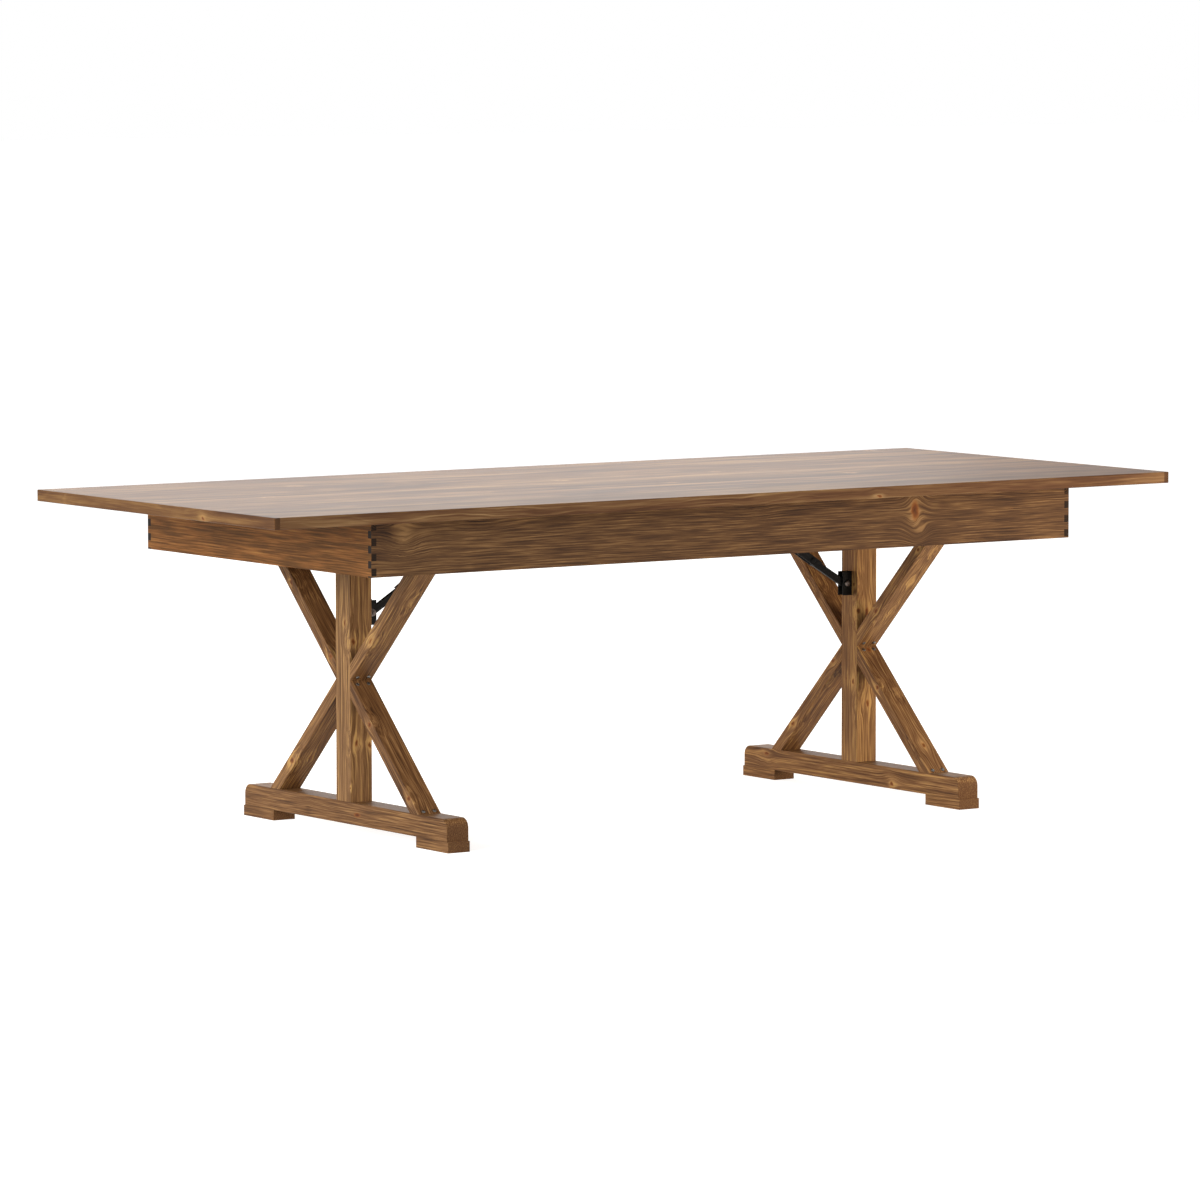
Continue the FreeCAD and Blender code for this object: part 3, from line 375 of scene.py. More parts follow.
        tone: object = 0.5
        for source, name, gain in ((streak, "Streaks", 1.6), (blotch, "Blotches", 1.2), (fibre, "Fibres", 1.3)):
            centre = maths(tree, "SUBTRACT", source, 0.5)
            strength = maths(tree, "MULTIPLY", out[name], gain)
            tone = maths(tree, "MULTIPLY_ADD", centre, strength, tone)
        tone = maths(tree, "MULTIPLY_ADD", ring, out["Lines"], tone)
        sapwood = ranged(tree, rippled, out["Sapwood"], maths(tree, "ADD", out["Sapwood"], 24.0), high=0.2)
        tone = maths(tree, "ADD", tone, sapwood)
        add(tree, "NodeGroupOutput", {"Tone": tone, "Ring": ring, "Fibre": fibre})
        return tree

    def _knot_group(self) -> NodeTree:
        """Bends the grain round one knot, measures its heart and pales the wood round it."""
        inputs = [(name, "Vector") for name in ("Place", "Middle", "Size")]
        inputs += [(name, "Float") for name in ("Heart", "Rough", "Lift", "Bend", "Core", "Raised")]
        outputs = [("Place", "Vector"), ("Core", "Float"), ("Raised", "Float")]
        tree, out = self._group("pine knot", inputs, outputs)
        offset = vectors(tree, "SUBTRACT", out["Place"], out["Middle"])
        # The stub is never round: its outline is pulled about by a few millimetres.
        mottle = self._stretched(tree, out["Place"], *self.mottle)
        ragged = vectors(tree, "SUBTRACT", mottle.outputs["Color"], (0.5,) * 3)
        ragged = vectors(tree, "SCALE", ragged, out["Rough"])
        swayed = vectors(tree, "ADD", offset, ragged)
        sized = vectors(tree, "MULTIPLY", swayed, out["Size"])
        far = vectors(tree, "LENGTH", sized).outputs["Value"]
        measure = maths(tree, "DIVIDE", far, out["Heart"])
        core = maths(tree, "MINIMUM", measure, out["Core"])
        # The fibres part round a knot like a stream round a stone.
        squared = maths(tree, "MULTIPLY", far, far)
        fading = maths(tree, "MULTIPLY", squared, -0.3)
        fading = maths(tree, "EXPONENT", fading)
        pull = maths(tree, "MULTIPLY", fading, out["Bend"])
        sideways = vectors(tree, "MULTIPLY", offset, (0, -1, -1))
        pulled = vectors(tree, "SCALE", sideways, pull)
        bent = vectors(tree, "ADD", out["Place"], pulled)
        glow = maths(tree, "MULTIPLY", squared, -0.9)
        glow = maths(tree, "EXPONENT", glow)
        raised = maths(tree, "MULTIPLY_ADD", glow, out["Lift"], out["Raised"])
        add(tree, "NodeGroupOutput", {"Place": bent, "Core": core, "Raised": raised})
        return tree

    def material(self, finish: WoodFinish, grain: Grain, node: str) -> Material:
        """Makes the material of one piece of wood.

        Args:
            finish: its stain and varnish.
            grain: how the piece lies in its tree.
            node: the CAD node that it dresses.

        Returns:
            The material.
        """
        low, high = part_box(node)
        middle = (low + high) / 2 / MM
        turn = Vector(grain.along).rotation_difference(Vector((1, 0, 0)))
        made = bpy.data.materials.new(f"{finish.title} {node}")
        tree = emptied(made)
        source = add(tree, "ShaderNodeTexCoord")
        place: object = in_millimetres(tree, source, Location=-(turn @ middle), Rotation=turn.to_euler())
        core: object = 99.0
        raised: object = 0.0
        for knot in grain.knots:
            local = turn @ (Vector(knot.place) - middle)
            size = (1 / (knot.radius * knot.stretch), 1 / knot.radius, 1 / knot.radius)
            stub = add(
                tree, "ShaderNodeGroup", node_tree=self.knot,
                links={
                    "Place": place, "Middle": local, "Size": size, "Heart": knot.heart,
                    "Rough": knot.radius * knot.ragged, "Lift": knot.lift, "Bend": knot.bend,
                    "Core": core, "Raised": raised,
                },
            )
            place, core, raised = (stub.outputs[name] for name in ("Place", "Core", "Raised"))
        figure = add(
            tree, "ShaderNodeGroup", node_tree=self.figure,
            links={
                "Place": place, "Shift": Vector(self.stride) * (grain.seed + 1),
                "Pith": turn @ Vector(grain.pith), "Ring width": finish.ring_width, "Core": grain.core,
                "Sapwood": grain.sapwood, "Wander": finish.wander, "Curl": finish.curl,
                "Lines": finish.lines, "Fibres": finish.fibres, "Streaks": finish.streaks,
                "Blotches": finish.blotches,
            },
        )
        stops = list(zip(self.tone_stops, finish.tones))
        tone = maths(tree, "ADD", figure.outputs["Tone"], grain.shade)
        if grain.knots:
            # Resin draws the growth lines clearly round a knot.
            clear = maths(tree, "MULTIPLY_ADD", figure.outputs["Ring"], 3.0, 0.8)
            tone = maths(tree, "MULTIPLY_ADD", clear, raised, tone)
        colour: object = add(tree, "ShaderNodeValToRGB", {0: tone}, stops=stops)
        if grain.knots:
            colour = self._knotted(tree, finish, colour, core)
        colour = self._end_grained(tree, finish, grain, source, figure, colour)
        if grain.seam_half != (FAR, FAR, FAR):
            colour = self._seamed(tree, grain, source, colour)
        worn = ranged(tree, figure.outputs["Fibre"], low=finish.roughness - 0.08, high=finish.roughness + 0.1)
        relief = maths(tree, "MULTIPLY_ADD", figure.outputs["Ring"], 0.5, figure.outputs["Fibre"])
        # The varnish leaves a relief of under a tenth of a millimetre over the hard lines.
        bump = add(tree, "ShaderNodeBump", {"Strength": 0.25, "Distance": self.relief * MM, "Height": relief})
        shader = add(
            tree, "ShaderNodeBsdfPrincipled",
            {
                "Base Color": colour, "Roughness": worn, "Normal": bump, "IOR": 1.5,
                "Specular IOR Level": finish.sheen_level,
            },
        )
        add(tree, "ShaderNodeOutputMaterial", {"Surface": shader})
        return made

    def _knotted(self, tree: NodeTree, finish: WoodFinish, colour: object, core: NodeSocket) -> NodeSocket:
        """Lays the dark heart of every knot over the colour."""
        stops = list(zip(self.knot_stops, finish.knot_colours))
        stub = add(tree, "ShaderNodeValToRGB", {0: core}, stops=stops)
        edge = ranged(tree, core, 0.75, 1.25, 0.9, 0.0)
        return mixed(tree, edge, colour, stub)

    @staticmethod
    def _end_grained(
        tree: NodeTree, finish: WoodFinish, grain: Grain,
        source: Node, figure: Node, colour: object,
    ) -> NodeSocket:
        """Darkens the cut ends, which drink more stain, and keeps their rings."""
        along = Vector(grain.along).normalized()
        facing = vectors(tree, "DOT_PRODUCT", source.outputs["Normal"], along).outputs["Value"]
        squared = maths(tree, "MULTIPLY", facing, facing)
        share = ranged(tree, squared, 0.6, 0.9, high=finish.end_share)
        rings = add(
            tree, "ShaderNodeValToRGB", {0: figure.outputs["Ring"]},
            stops=[(0.0, finish.end_grain), (0.5, finish.tones[1])],
        )
        return mixed(tree, share, colour, rings)

    def _seamed(self, tree: NodeTree, grain: Grain, source: Node, colour: NodeSocket) -> NodeSocket:
        """Draws the glue line along the edges where the piece meets its neighbours.

        A glue line is about 0.2 mm wide; it is drawn 1 mm wide, so that it shows.
        """
        place = in_millimetres(tree, source, Location=-Vector(grain.seam_middle))
        size = vectors(tree, "ABSOLUTE", place)
        inside = vectors(tree, "SUBTRACT", size, grain.seam_half)
        parts = add(tree, "ShaderNodeSeparateXYZ", {0: inside})
        most = maths(tree, "MAXIMUM", parts.outputs["X"], parts.outputs["Y"])
        line = ranged(tree, most, -1.1, -0.4, high=0.5)
        return mixed(tree, line, colour, linear(self.seam_colour))


# ---------------------------------------------------------------- metal finishes
@dataclass(frozen=True)
class MetalFinish:
    """A metal surface: its colours, how it scatters light, and its texture and clouds in mm."""

    title: str
    slot: str
    colour: str
    worn_colour: str
    metallic: float
    roughness: float
    spread: float = 0.12
    texture: float = 3.0
    cloud: float = 18.0
    relief: float = 0.1
    gloss_level: float = 0.5

    def material(self) -> Material:
        """Makes the material."""
        made = bpy.data.materials.new(self.title)
        tree = emptied(made)
        place = in_millimetres(tree, add(tree, "ShaderNodeTexCoord"))
        fine, broad = (
            add(tree, "ShaderNodeTexNoise", {"Vector": place, "Scale": 1 / size, "Detail": 2.0})
            for size in (self.texture, self.cloud)
        )
        colour = mixed(tree, broad, linear(self.colour), linear(self.worn_colour))
        rough = ranged(tree, broad, low=self.roughness - self.spread, high=self.roughness + self.spread)
        bump = add(tree, "ShaderNodeBump", {"Strength": 0.35, "Distance": self.relief * MM, "Height": fine})
        shader = add(
            tree, "ShaderNodeBsdfPrincipled",
            {
                "Base Color": colour, "Metallic": self.metallic, "Roughness": rough, "Normal": bump,
                "Specular IOR Level": self.gloss_level,
            },
        )
        add(tree, "ShaderNodeOutputMaterial", {"Surface": shader})
        return made


class Metal(Enum):
    """The metals of the table's hardware."""

    # Pressed steel under black powder paint: satin, with a faint orange-peel texture.
    BLACK = MetalFinish(
        "black powder coat on steel", "black_steel", "#121110", "#1b1a18", 0.0, 0.55, texture=1.4, relief=0.15,
        gloss_level=0.12,
    )
    # Zinc plate on bolts and nuts, gone dull: a warm mid grey with cloudy patches.
    ZINC = MetalFinish("bright zinc plate", "zinc_bolt", "#7c716b", "#635b56", 1.0, 0.5)
    # Zinc-plated strip of the hinges, duller where it was rolled.
    HINGE = MetalFinish("zinc plate on hinge strip", "hinge_steel", "#aeb0b0", "#8e9091", 1.0, 0.38)
    # Small screws, zinc plated and passivated: dull grey with a warm cast.
    SCREW = MetalFinish("dull zinc on screws", "screw_steel", "#8e8b87", "#6e6b67", 1.0, 0.36)


class Finishes:
    """Makes each finish once and gives it to pieces."""

    def __init__(self) -> None:
        """Starts with the shared wood groups and no metals."""
        self.pine = PineFigure()
        self.metals: dict[Metal, Material] = {}

    def metal(self, metal: Metal) -> Material:
        """The material of a metal, made on first use."""
        if metal not in self.metals:
            self.metals[metal] = metal.value.material()
        return self.metals[metal]

    def stain(self, node: str, finish: Finish, grain: Grain) -> None:
        """Dresses a CAD node in wood cut as the grain says."""
        self._paint(node, self.pine.material(finish.value, grain, node))
        log.info("%s: %s", node, finish.value.title)

    def fitting(self, mesh: Mesh, name: str, body: str, metal: Metal, node: str) -> None:
        """Keeps a piece of metal that rides on a body and stands for one CAD node."""
        keep(mesh, name, body, self.metal(metal), (node,))

    def plate(self, node: str, metal: Metal) -> None:
        """Dresses a CAD node in a metal."""
        self._paint(node, self.metal(metal))
        log.info("%s: %s", node, metal.value.title)

    @staticmethod
    def _paint(node: str, made: Material) -> None:
        """Gives a CAD node's object one material in every slot."""
        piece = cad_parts[node]
        if not piece.material_slots:
            piece.data.materials.append(made)
        for slot in piece.material_slots:
            slot.material = made


# ---------------------------------------------------------------- meshes
def placed(name: str, data: object) -> Object:
    """Makes an object of this mesh, lamp or camera and puts it in the scene."""
    made = bpy.data.objects.new(name, data)
    bpy.context.scene.collection.objects.link(made)
    return made


def keep(mesh: Mesh, name: str, body: str, made: Material, replaced: tuple[str, ...]) -> None:
    """Makes a finished piece that rides on a body and stands for CAD nodes.

    Args:
        mesh: its mesh, in the table's frame.
        name: the piece's name.
        body: the CAD body that carries it.
        made: its material.
        replaced: the CAD nodes that it stands for.
    """
    mesh.materials.clear()
    mesh.materials.append(made)
    piece = placed(name, mesh)
    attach(piece, body)
    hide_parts(*replaced)
    log.info("%s: %d faces on %s", name, len(mesh.polygons), body)


def circle(radius: float, height: float, count: int = 32) -> list[Vector]:
    """A ring of points round Z at a height, in mm."""
    steps = (2 * math.pi * i / count for i in range(count))
    return [Vector((radius * math.cos(a), radius * math.sin(a), height)) for a in steps]


def hexagon(corner: float, height: float, slope: float, count: int = 36) -> list[Vector]:
    """A six-sided ring whose corners are chamfered: they lie lower, or higher for a negative slope.

    Args:
        corner: the distance from the middle to a corner, in mm.
        height: the height at the middle of the flats.
        slope: how far the corners drop for each millimetre that they stand out.
        count: the number of points, a multiple of six.

    Returns:
        The points.
    """
    flat = corner * math.cos(math.pi / 6)
    points = []
    for i in range(count):
        angle = 2 * math.pi * i / count
        within = (angle + math.pi / 6) % (math.pi / 3) - math.pi / 6
        reach = flat / math.cos(math.pi / 6 - abs(within))
        drop = (reach - flat) * slope
        points.append(Vector((reach * math.cos(angle), reach * math.sin(angle), height - drop)))
    return points


def shell(solid: BMesh, rings: Rings, closed: bool = False) -> None:
    """Joins rings of points into a skin, outwards facing for rings that go up.

    Args:
        solid: the mesh that gets the skin.
        rings: rings with the same number of points.
        closed: whether the last ring joins the first; otherwise both ends get a face.
    """
    made = [[solid.verts.new(point) for point in ring] for ring in rings]
    pairs = list(zip(made, made[1:] + made[:1]))
    for low, high in pairs if closed else pairs[:-1]:
        for i in range(len(low)):
            j = (i + 1) % len(low)
            solid.faces.new((low[i], low[j], high[j], high[i]))
    if not closed:
        solid.faces.new(list(reversed(made[0])))
        solid.faces.new(made[-1])


def to_mesh(solid: BMesh, name: str, placing: Matrix = Matrix.Identity(4)) -> Mesh:
    """Ends a mesh that was drawn in millimetres.

    Args:
        solid: the drawn mesh, which is freed.
        name: the mesh's name.
        placing: where it goes, in metres.

    Returns:
        The mesh, smooth but for edges over 35 degrees.
    """
    bmesh.ops.recalc_face_normals(solid, faces=solid.faces)
    mesh = bpy.data.meshes.new(name)
    solid.transform(placing @ Matrix.Scale(MM, 4))
    solid.to_mesh(mesh)
    solid.free()
    mesh.shade_smooth()
    mesh.set_sharp_from_angle(angle=SHARP)
    return mesh


def gathered(parts: list[Mesh], name: str, sharp: float = SHARP) -> Mesh:
    """Joins smooth meshes into one and marks its sharp edges."""
    whole = bmesh.new()
    for part in parts:
        whole.from_mesh(part)
    mesh = bpy.data.meshes.new(name)
    whole.to_mesh(mesh)
    whole.free()
    mesh.set_sharp_from_angle(angle=sharp)
    return mesh


def evaluated(draft: Object) -> Mesh:
    """What the modifiers of an object in the scene make of it."""
    return bpy.data.meshes.new_from_object(draft.evaluated_get(bpy.context.evaluated_depsgraph_get()))


def welded(node: str) -> BMesh:
    """The mesh of a CAD node, with the corners joined that its export split."""
    merged = bmesh.new()
    merged.from_mesh(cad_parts[node].data)
    bmesh.ops.remove_doubles(merged, verts=merged.verts, dist=WELD)
    return merged


def separate_solids(node: str) -> list[np.ndarray]:
    """The corner points of each solid of a CAD node.

    Args:
        node: the node's name.

    Returns:
        For each solid, its points in metres, one a row.
    """
    merged = welded(node)
    waiting = set(merged.verts)
    found = []
    while waiting:
        stack = [waiting.pop()]
        points = []
        while stack:
            corner = stack.pop()
            points.append(list(corner.co))
            for edge in corner.link_edges:
                other = edge.other_vert(corner)
                if other in waiting:
                    waiting.remove(other)
                    stack.append(other)
        found.append(np.array(points))
    merged.free()
    return found


def eased_copy(node: str, radius: float) -> Mesh:
    """A copy of a CAD node's mesh whose sharp edges are rounded.

    Args:
        node: the node's name.
        radius: the rounding, in mm.

    Returns:
        The copy.
    """
    merged = welded(node)
    bmesh.ops.dissolve_limit(
        merged, angle_limit=math.radians(0.5), verts=merged.verts, edges=merged.edges,
        use_dissolve_boundaries=False,
    )
    mesh = bpy.data.meshes.new(node + "_eased")
    merged.to_mesh(mesh)
    merged.free()
    if "custom_normal" in mesh.attributes:
        mesh.attributes.remove(mesh.attributes["custom_normal"])
    draft = placed("draft", mesh)
    rounding = draft.modifiers.new("round", "BEVEL")
    rounding.width = radius * MM
    rounding.segments = 2
    rounding.limit_method = "ANGLE"
    rounding.angle_limit = math.radians(40)
    rounding.use_clamp_overlap = True
    solid = evaluated(draft)
    bpy.data.objects.remove(draft)
    solid.shade_smooth()
    solid.set_sharp_from_angle(angle=SHARP)
    return solid


# ---------------------------------------------------------------- fasteners
class ScrewKind(Enum):
    """The two heads of the table's screws."""

    PAN = "pan"
    COUNTERSUNK = "countersunk"


@dataclass
class ScrewMaker:
    """Cross-recessed wood screws, driven at every seat of a CAD node by Geometry Nodes."""

    finishes: Finishes
    head_radius: float = 4.3
    head_height: float = 2.4
    sunk_radius: float = 4.4
    sunk_depth: float = 2.2
    shank_radius: float = 2.2
    recess_reach: float = 2.5
    recess_width: float = 0.95
    recess_depth: float = 1.7
    end_slice: float = 0.3  # the slice of a CAD screw that shows which head it has
    tolerance: float = 0.05

    def __post_init__(self) -> None:
        """Makes both heads and the tree that drives them."""
        self.heads = {kind: self._head(kind) for kind in ScrewKind}
        self.tree = self._tree()

    def _head(self, kind: ScrewKind) -> Object:
        """Makes one head, its bearing face at the origin and its recess upwards."""
        if kind is ScrewKind.PAN:
            dome = [(0.97, 0.0), (1.0, 0.12), (1.0, 0.38), (0.94, 0.68), (0.76, 0.9), (0.45, 1.0)]
            profile = [(self.head_radius * share, self.head_height * rise) for share, rise in dome]
        else:
            profile = [(self.shank_radius, -self.sunk_depth), (self.sunk_radius, -0.25), (self.sunk_radius, 0)]
        solid = bmesh.new()
        shell(solid, [circle(radius, height, 20) for radius, height in profile])
        head = placed(kind.value + "_head", to_mesh(solid, kind.value))
        cross = self._cross(profile[-1][1])
        cut = head.modifiers.new("recess", "BOOLEAN")
        cut.object = cross
        cut.solver = "EXACT"
        cut_mesh = evaluated(head)
        cut_mesh.set_sharp_from_angle(angle=SHARP)
        head.modifiers.clear()
        head.data = cut_mesh
        bpy.data.objects.remove(cross)
        bpy.context.scene.collection.objects.unlink(head)
        return head

    def _cross(self, top: float) -> Object:
        """The tapered cross that the recess is cut with."""
        solid = bmesh.new()
        wide, narrow = self.recess_reach, self.recess_width / 2
        arm = [(wide, -narrow), (wide, narrow), (narrow, narrow)]
        outline = []
        for _ in range(4):
            outline += arm
            arm = [(-y, x) for x, y in arm]
        levels = [(top - self.recess_depth, 0.45), (top + 0.5, 1.0)]
        shell(solid, [[Vector((x * share, y * share, z)) for x, y in outline] for z, share in levels])
        return placed("cross", to_mesh(solid, "cross"))

    def _tree(self) -> NodeTree:
        """The Geometry Nodes tree: heads and shanks on points, each turned by chance."""
        tree = bpy.data.node_groups.new("driven screws", "GeometryNodeTree")
        sockets = [
            ("Seats", "Geometry"), ("Pan head", "Object"), ("Countersunk head", "Object"),
            ("Shank radius", "Float"), ("Turn seed", "Int"), ("Steel", "Material"),
        ]
        for name, kind in sockets:
            tree.interface.new_socket(name=name, in_out="INPUT", socket_type=f"NodeSocket{kind}")
        tree.interface.new_socket(name="Screws", in_out="OUTPUT", socket_type="NodeSocketGeometry")
        given = tree.nodes.new("NodeGroupInput").outputs
        drive = add(tree, "GeometryNodeInputNamedAttribute", {"Name": "drive"}, data_type="FLOAT_VECTOR")
        length = add(tree, "GeometryNodeInputNamedAttribute", {"Name": "length"}, data_type="FLOAT")
        sunk = add(tree, "GeometryNodeInputNamedAttribute", {"Name": "sunk"}, data_type="BOOLEAN")
        upright = add(tree, "FunctionNodeAlignRotationToVector", {"Vector": drive}, axis="Z")
        turn = add(
            tree, "FunctionNodeRandomValue", {"Min": 0.0, "Max": math.pi, "Seed": given["Turn seed"]},
            data_type="FLOAT",
        )
        spin = add(tree, "FunctionNodeAxisAngleToRotation", {"Axis": (0, 0, 1), "Angle": turn})
        turned = add(
            tree, "FunctionNodeRotateRotation", {"Rotation": upright, "Rotate By": spin},
            rotation_space="LOCAL",
        )
        points = add(tree, "GeometryNodeMeshToPoints", {"Mesh": given["Seats"]})
        pan = add(tree, "FunctionNodeBooleanMath", {0: sunk}, operation="NOT")
        rod = add(
            tree, "GeometryNodeMeshCylinder", {"Vertices": 12, "Radius": given["Shank radius"], "Depth": 1.0},
        )
        below = add(tree, "GeometryNodeTransform", {"Geometry": rod, "Translation": (0, 0, -0.5)})
        size = add(tree, "ShaderNodeCombineXYZ", {"X": 1.0, "Y": 1.0, "Z": length})
        joined = tree.nodes.new("GeometryNodeJoinGeometry")
        domed, flush = (
            add(tree, "GeometryNodeObjectInfo", {"Object": given[name]}).outputs["Geometry"]
            for name in ("Pan head", "Countersunk head")
        )
        for shape, chosen, scale in ((domed, pan, (1, 1, 1)), (flush, sunk, (1, 1, 1)), (below, True, size)):
            driven = add(
                tree, "GeometryNodeInstanceOnPoints",
                {"Points": points, "Selection": chosen, "Instance": shape, "Rotation": turned, "Scale": scale},
            )
            tree.links.new(driven.outputs[0], joined.inputs[0])
        real = add(tree, "GeometryNodeRealizeInstances", {"Geometry": joined})
        coated = add(tree, "GeometryNodeSetMaterial", {"Geometry": real, "Material": given["Steel"]})
        add(tree, "NodeGroupOutput", {0: coated})
        return tree

    def _seats(self, node: str) -> list[tuple[Vector, Vector, float, bool]]:
        """Where each of a CAD node's screws sits.

        Args:
            node: the node's name.

        Returns:
            For each screw: the place of its bearing face, the way its head points, the length of
            its shank in metres, and whether its head is countersunk.
        """
        found = []
        for points in separate_solids(node):
            middle = points.mean(axis=0)
            axis = np.linalg.svd(points - middle)[2][0]
            along = (points - middle) @ axis
            radial = np.linalg.norm(points - middle - np.outer(along, axis), axis=1)
            if along[radial > 1.5 * self.shank_radius * MM].mean() < 0:
                axis, along = -axis, -along
            head_end = along.max()
            near_end = radial[along > head_end - self.end_slice * MM].max()
            sunk = near_end > (self.head_radius - self.tolerance) * MM
            seat = head_end - (0 if sunk else self.head_height * MM)
            found.append((Vector(middle + axis * seat), Vector(axis), seat - along.min(), bool(sunk)))
        return found

    def drive(self, node: str, body: str, seed: int) -> None:
        """Replaces a CAD node's plain screws.

        Args:
            node: the CAD node.
            body: the body that carries it.
            seed: the seed of the screws' turns.
        """
        seats = self._seats(node)
        mesh = bpy.data.meshes.new(node + "_seats")
        mesh.from_pydata([seat[0] for seat in seats], [], [])
        for name, kind, key, column in (
            ("drive", "FLOAT_VECTOR", "vector", 1), ("length", "FLOAT", "value", 2),
            ("sunk", "BOOLEAN", "value", 3),
        ):
            values = mesh.attributes.new(name, kind, "POINT").data
            for item, seat in zip(values, seats):
                setattr(item, key, seat[column])
        draft = placed(node + "_draft", mesh)
        driver = draft.modifiers.new("screws", "NODES")
        driver.node_group = self.tree
        chosen = {
            "Pan head": self.heads[ScrewKind.PAN], "Countersunk head": self.heads[ScrewKind.COUNTERSUNK],
            "Shank radius": self.shank_radius * MM, "Turn seed": seed,
            "Steel": self.finishes.metal(Metal.SCREW),
        }
        for item in self.tree.interface.items_tree:
            if item.in_out == "INPUT" and item.name in chosen:
                driver[item.identifier] = chosen[item.name]
        made = evaluated(draft)
        draft.modifiers.clear()
        bpy.data.objects.remove(draft)
        self.finishes.fitting(made, node + "_detailed", body, Metal.SCREW, node)


@dataclass
class BoltMaker:
    """The bolts that the stays turn on: a domed head, a washer, a chamfered nut and spacers."""

    finishes: Finishes
    radius: float = 4.0
    head_radius: float = 7.2
    head_height: float = 4.5
    washer_radius: float = 8.8
    washer_thickness: float = 1.6
    nut_radius: float = 7.5
    nut_height: float = 6.5
    tail: float = 2.0
    point: float = 0.7
    play: float = 0.02
    bracket_half: float = 10.0
    bracket_wall: float = 2.0

    @staticmethod
    def _disc(solid: BMesh, bore: float, rim: float, low: float, high: float, ease: float) -> None:
        """Draws a bored disc round Z, from low to high, whose outer edges are eased."""
        outline = [(bore, low), (rim - ease, low), (rim, low + ease)]
        outline += [(rim, high - ease), (rim - ease, high), (bore, high)]
        shell(solid, [circle(x, z) for x, z in outline], closed=True)

    def _draw(self, solid: BMesh, spacer: float) -> None:
        """Draws a bolt along Z, its head below and its nut above.

        Args:
            solid: the mesh that gets the bolt.
            spacer: the width of the two spacers, or 0 for none.
        """
        r, half = self.radius, self.bracket_half
        head, h = self.head_radius, self.head_height
        end = half + self.washer_thickness + self.nut_height + self.tail
        dome = [(0.35, 1.0), (0.62, 0.94), (0.83, 0.78), (0.95, 0.52), (1.0, 0.22), (0.99, 0.04), (0.96, 0.0)]
        rings = [circle(head * share, -half - h * rise) for share, rise in dome]
        rings += [circle(r, -half), circle(r, end - self.point), circle(r - self.point, end)]
        shell(solid, rings)
        thick = self.washer_thickness
        bore = r + self.play
        self._disc(solid, bore, self.washer_radius, half, half + thick, 0.3)
        foot, top = half + thick, half + thick + self.nut_height
        flat = self.nut_radius * math.cos(math.pi / 6)
        shell(solid, [
            circle(bore, foot, 36), circle(flat * 0.93, foot, 36),
            hexagon(self.nut_radius, foot + 0.15, -0.55), hexagon(self.nut_radius, top - 0.15, 0.55),
            circle(flat * 0.93, top, 36), circle(bore + 0.5, top, 36), circle(bore, top - 0.5, 36),
        ], closed=True)
        if spacer:
            inner = half - self.bracket_wall
            for low, high in ((-inner, spacer - inner), (inner - spacer, inner)):
                self._disc(solid, bore, r * 1.5, low, high, 0.2)

    def fit(self, node: str, body: str, places: list[tuple[float, float, int]], spacer: float) -> None:
        """Replaces a CAD node's plain bolts.

        Args:
            node: the CAD node.
            body: the body that carries it.
            places: each bolt's X and Z in metres, and 1 where its nut is at the rear, or -1.
            spacer: the width of the spacers, in mm.
        """
        parts = []
        for x, z, side in places:
            solid = bmesh.new()
            self._draw(solid, spacer)
            # The bolt is drawn up Z and laid along Y, its nut to the rear or the front.
            placing = Matrix.Translation((x, 0, z)) @ Matrix.Rotation(-side * math.pi / 2, 4, "X")
            parts.append(to_mesh(solid, "bolt", placing))
        self.finishes.fitting(gathered(parts, node), node + "_detailed", body, Metal.ZINC, node)


# ---------------------------------------------------------------- the top
@dataclass
class TableTop:
    """Six planks between two end lippings."""

    finishes: Finishes
    plank_count: int = 6
    width: float = 1016.0
    board_end: float = 1206.0

    def dress(self) -> None:
        """Stains every plank and lipping."""
        pitch = self.width / self.plank_count
        piths = [(0, -20, -75), (0, -60, -62), (0, -55, -70), (0, 62, -70), (0, -48, -75), (0, 40, -66)]
        shades = (0.0, -0.06, -0.04, 0.02, -0.02, 0.03)
        knots = {
            1: (
                Knot((380, -508, 741), 9, 1.8), Knot((-640, -508, 749), 24, 9.0, 0.01, 0.6, 0.24, 0.0),
                Knot((20, -508, 749), 24, 8.0, 0.01, 0.6, 0.14, 0.0),
            ),
            3: (Knot((592, -112, 762), 14, 1.2), Knot((73, -129, 762), 11, 1.5)),
            4: (Knot((-919, 6, 762), 12, 1.2), Knot((-95, 71, 762), 13, 1.3), Knot((355, 95, 762), 12, 1.2)),
            5: (Knot((-422, 246, 762), 14, 1.3), Knot((-687, 267, 762), 17, 1.4)),
            6: (Knot((1079, 470, 762), 12, 1.2),),
        }
        for i in range(self.plank_count):
            low = self.width * (i / self.plank_count - 0.5)
            high = low + pitch
            # Only the edges between two planks are seams, so the outer planks reach past the rim.
            left = low - FAR if i == 0 else low
            right = high + FAR if i == self.plank_count - 1 else high
            grain = Grain(
                (1, 0, 0), piths[i], 3 + 7 * i, knots.get(i + 1, ()), sapwood=128,
                seam_middle=(0, (left + right) / 2, 0), seam_half=(self.board_end, (right - left) / 2, FAR),
                shade=shades[i],
            )
            finish = Finish.TOP_FRONT if i == 0 else Finish.TOP
            self.finishes.stain(f"top_board_{i + 1}", finish, grain)
        marks = (
            Knot((-1219, -212, 743), 10, 1.6),
            Knot((-1219, 230, 749), 24, 11.0, 0.01, 0.6, 0.2, 0.0),
            Knot((-1219, -490, 749), 22, 3.0, 0.01, 0.6, -0.2, 0.0),
        )
        lipping = Grain((0, 1, 0), (-60, 0, 25), 61, marks)
        self.finishes.stain("end_lippings", Finish.TOP_RIM, lipping)


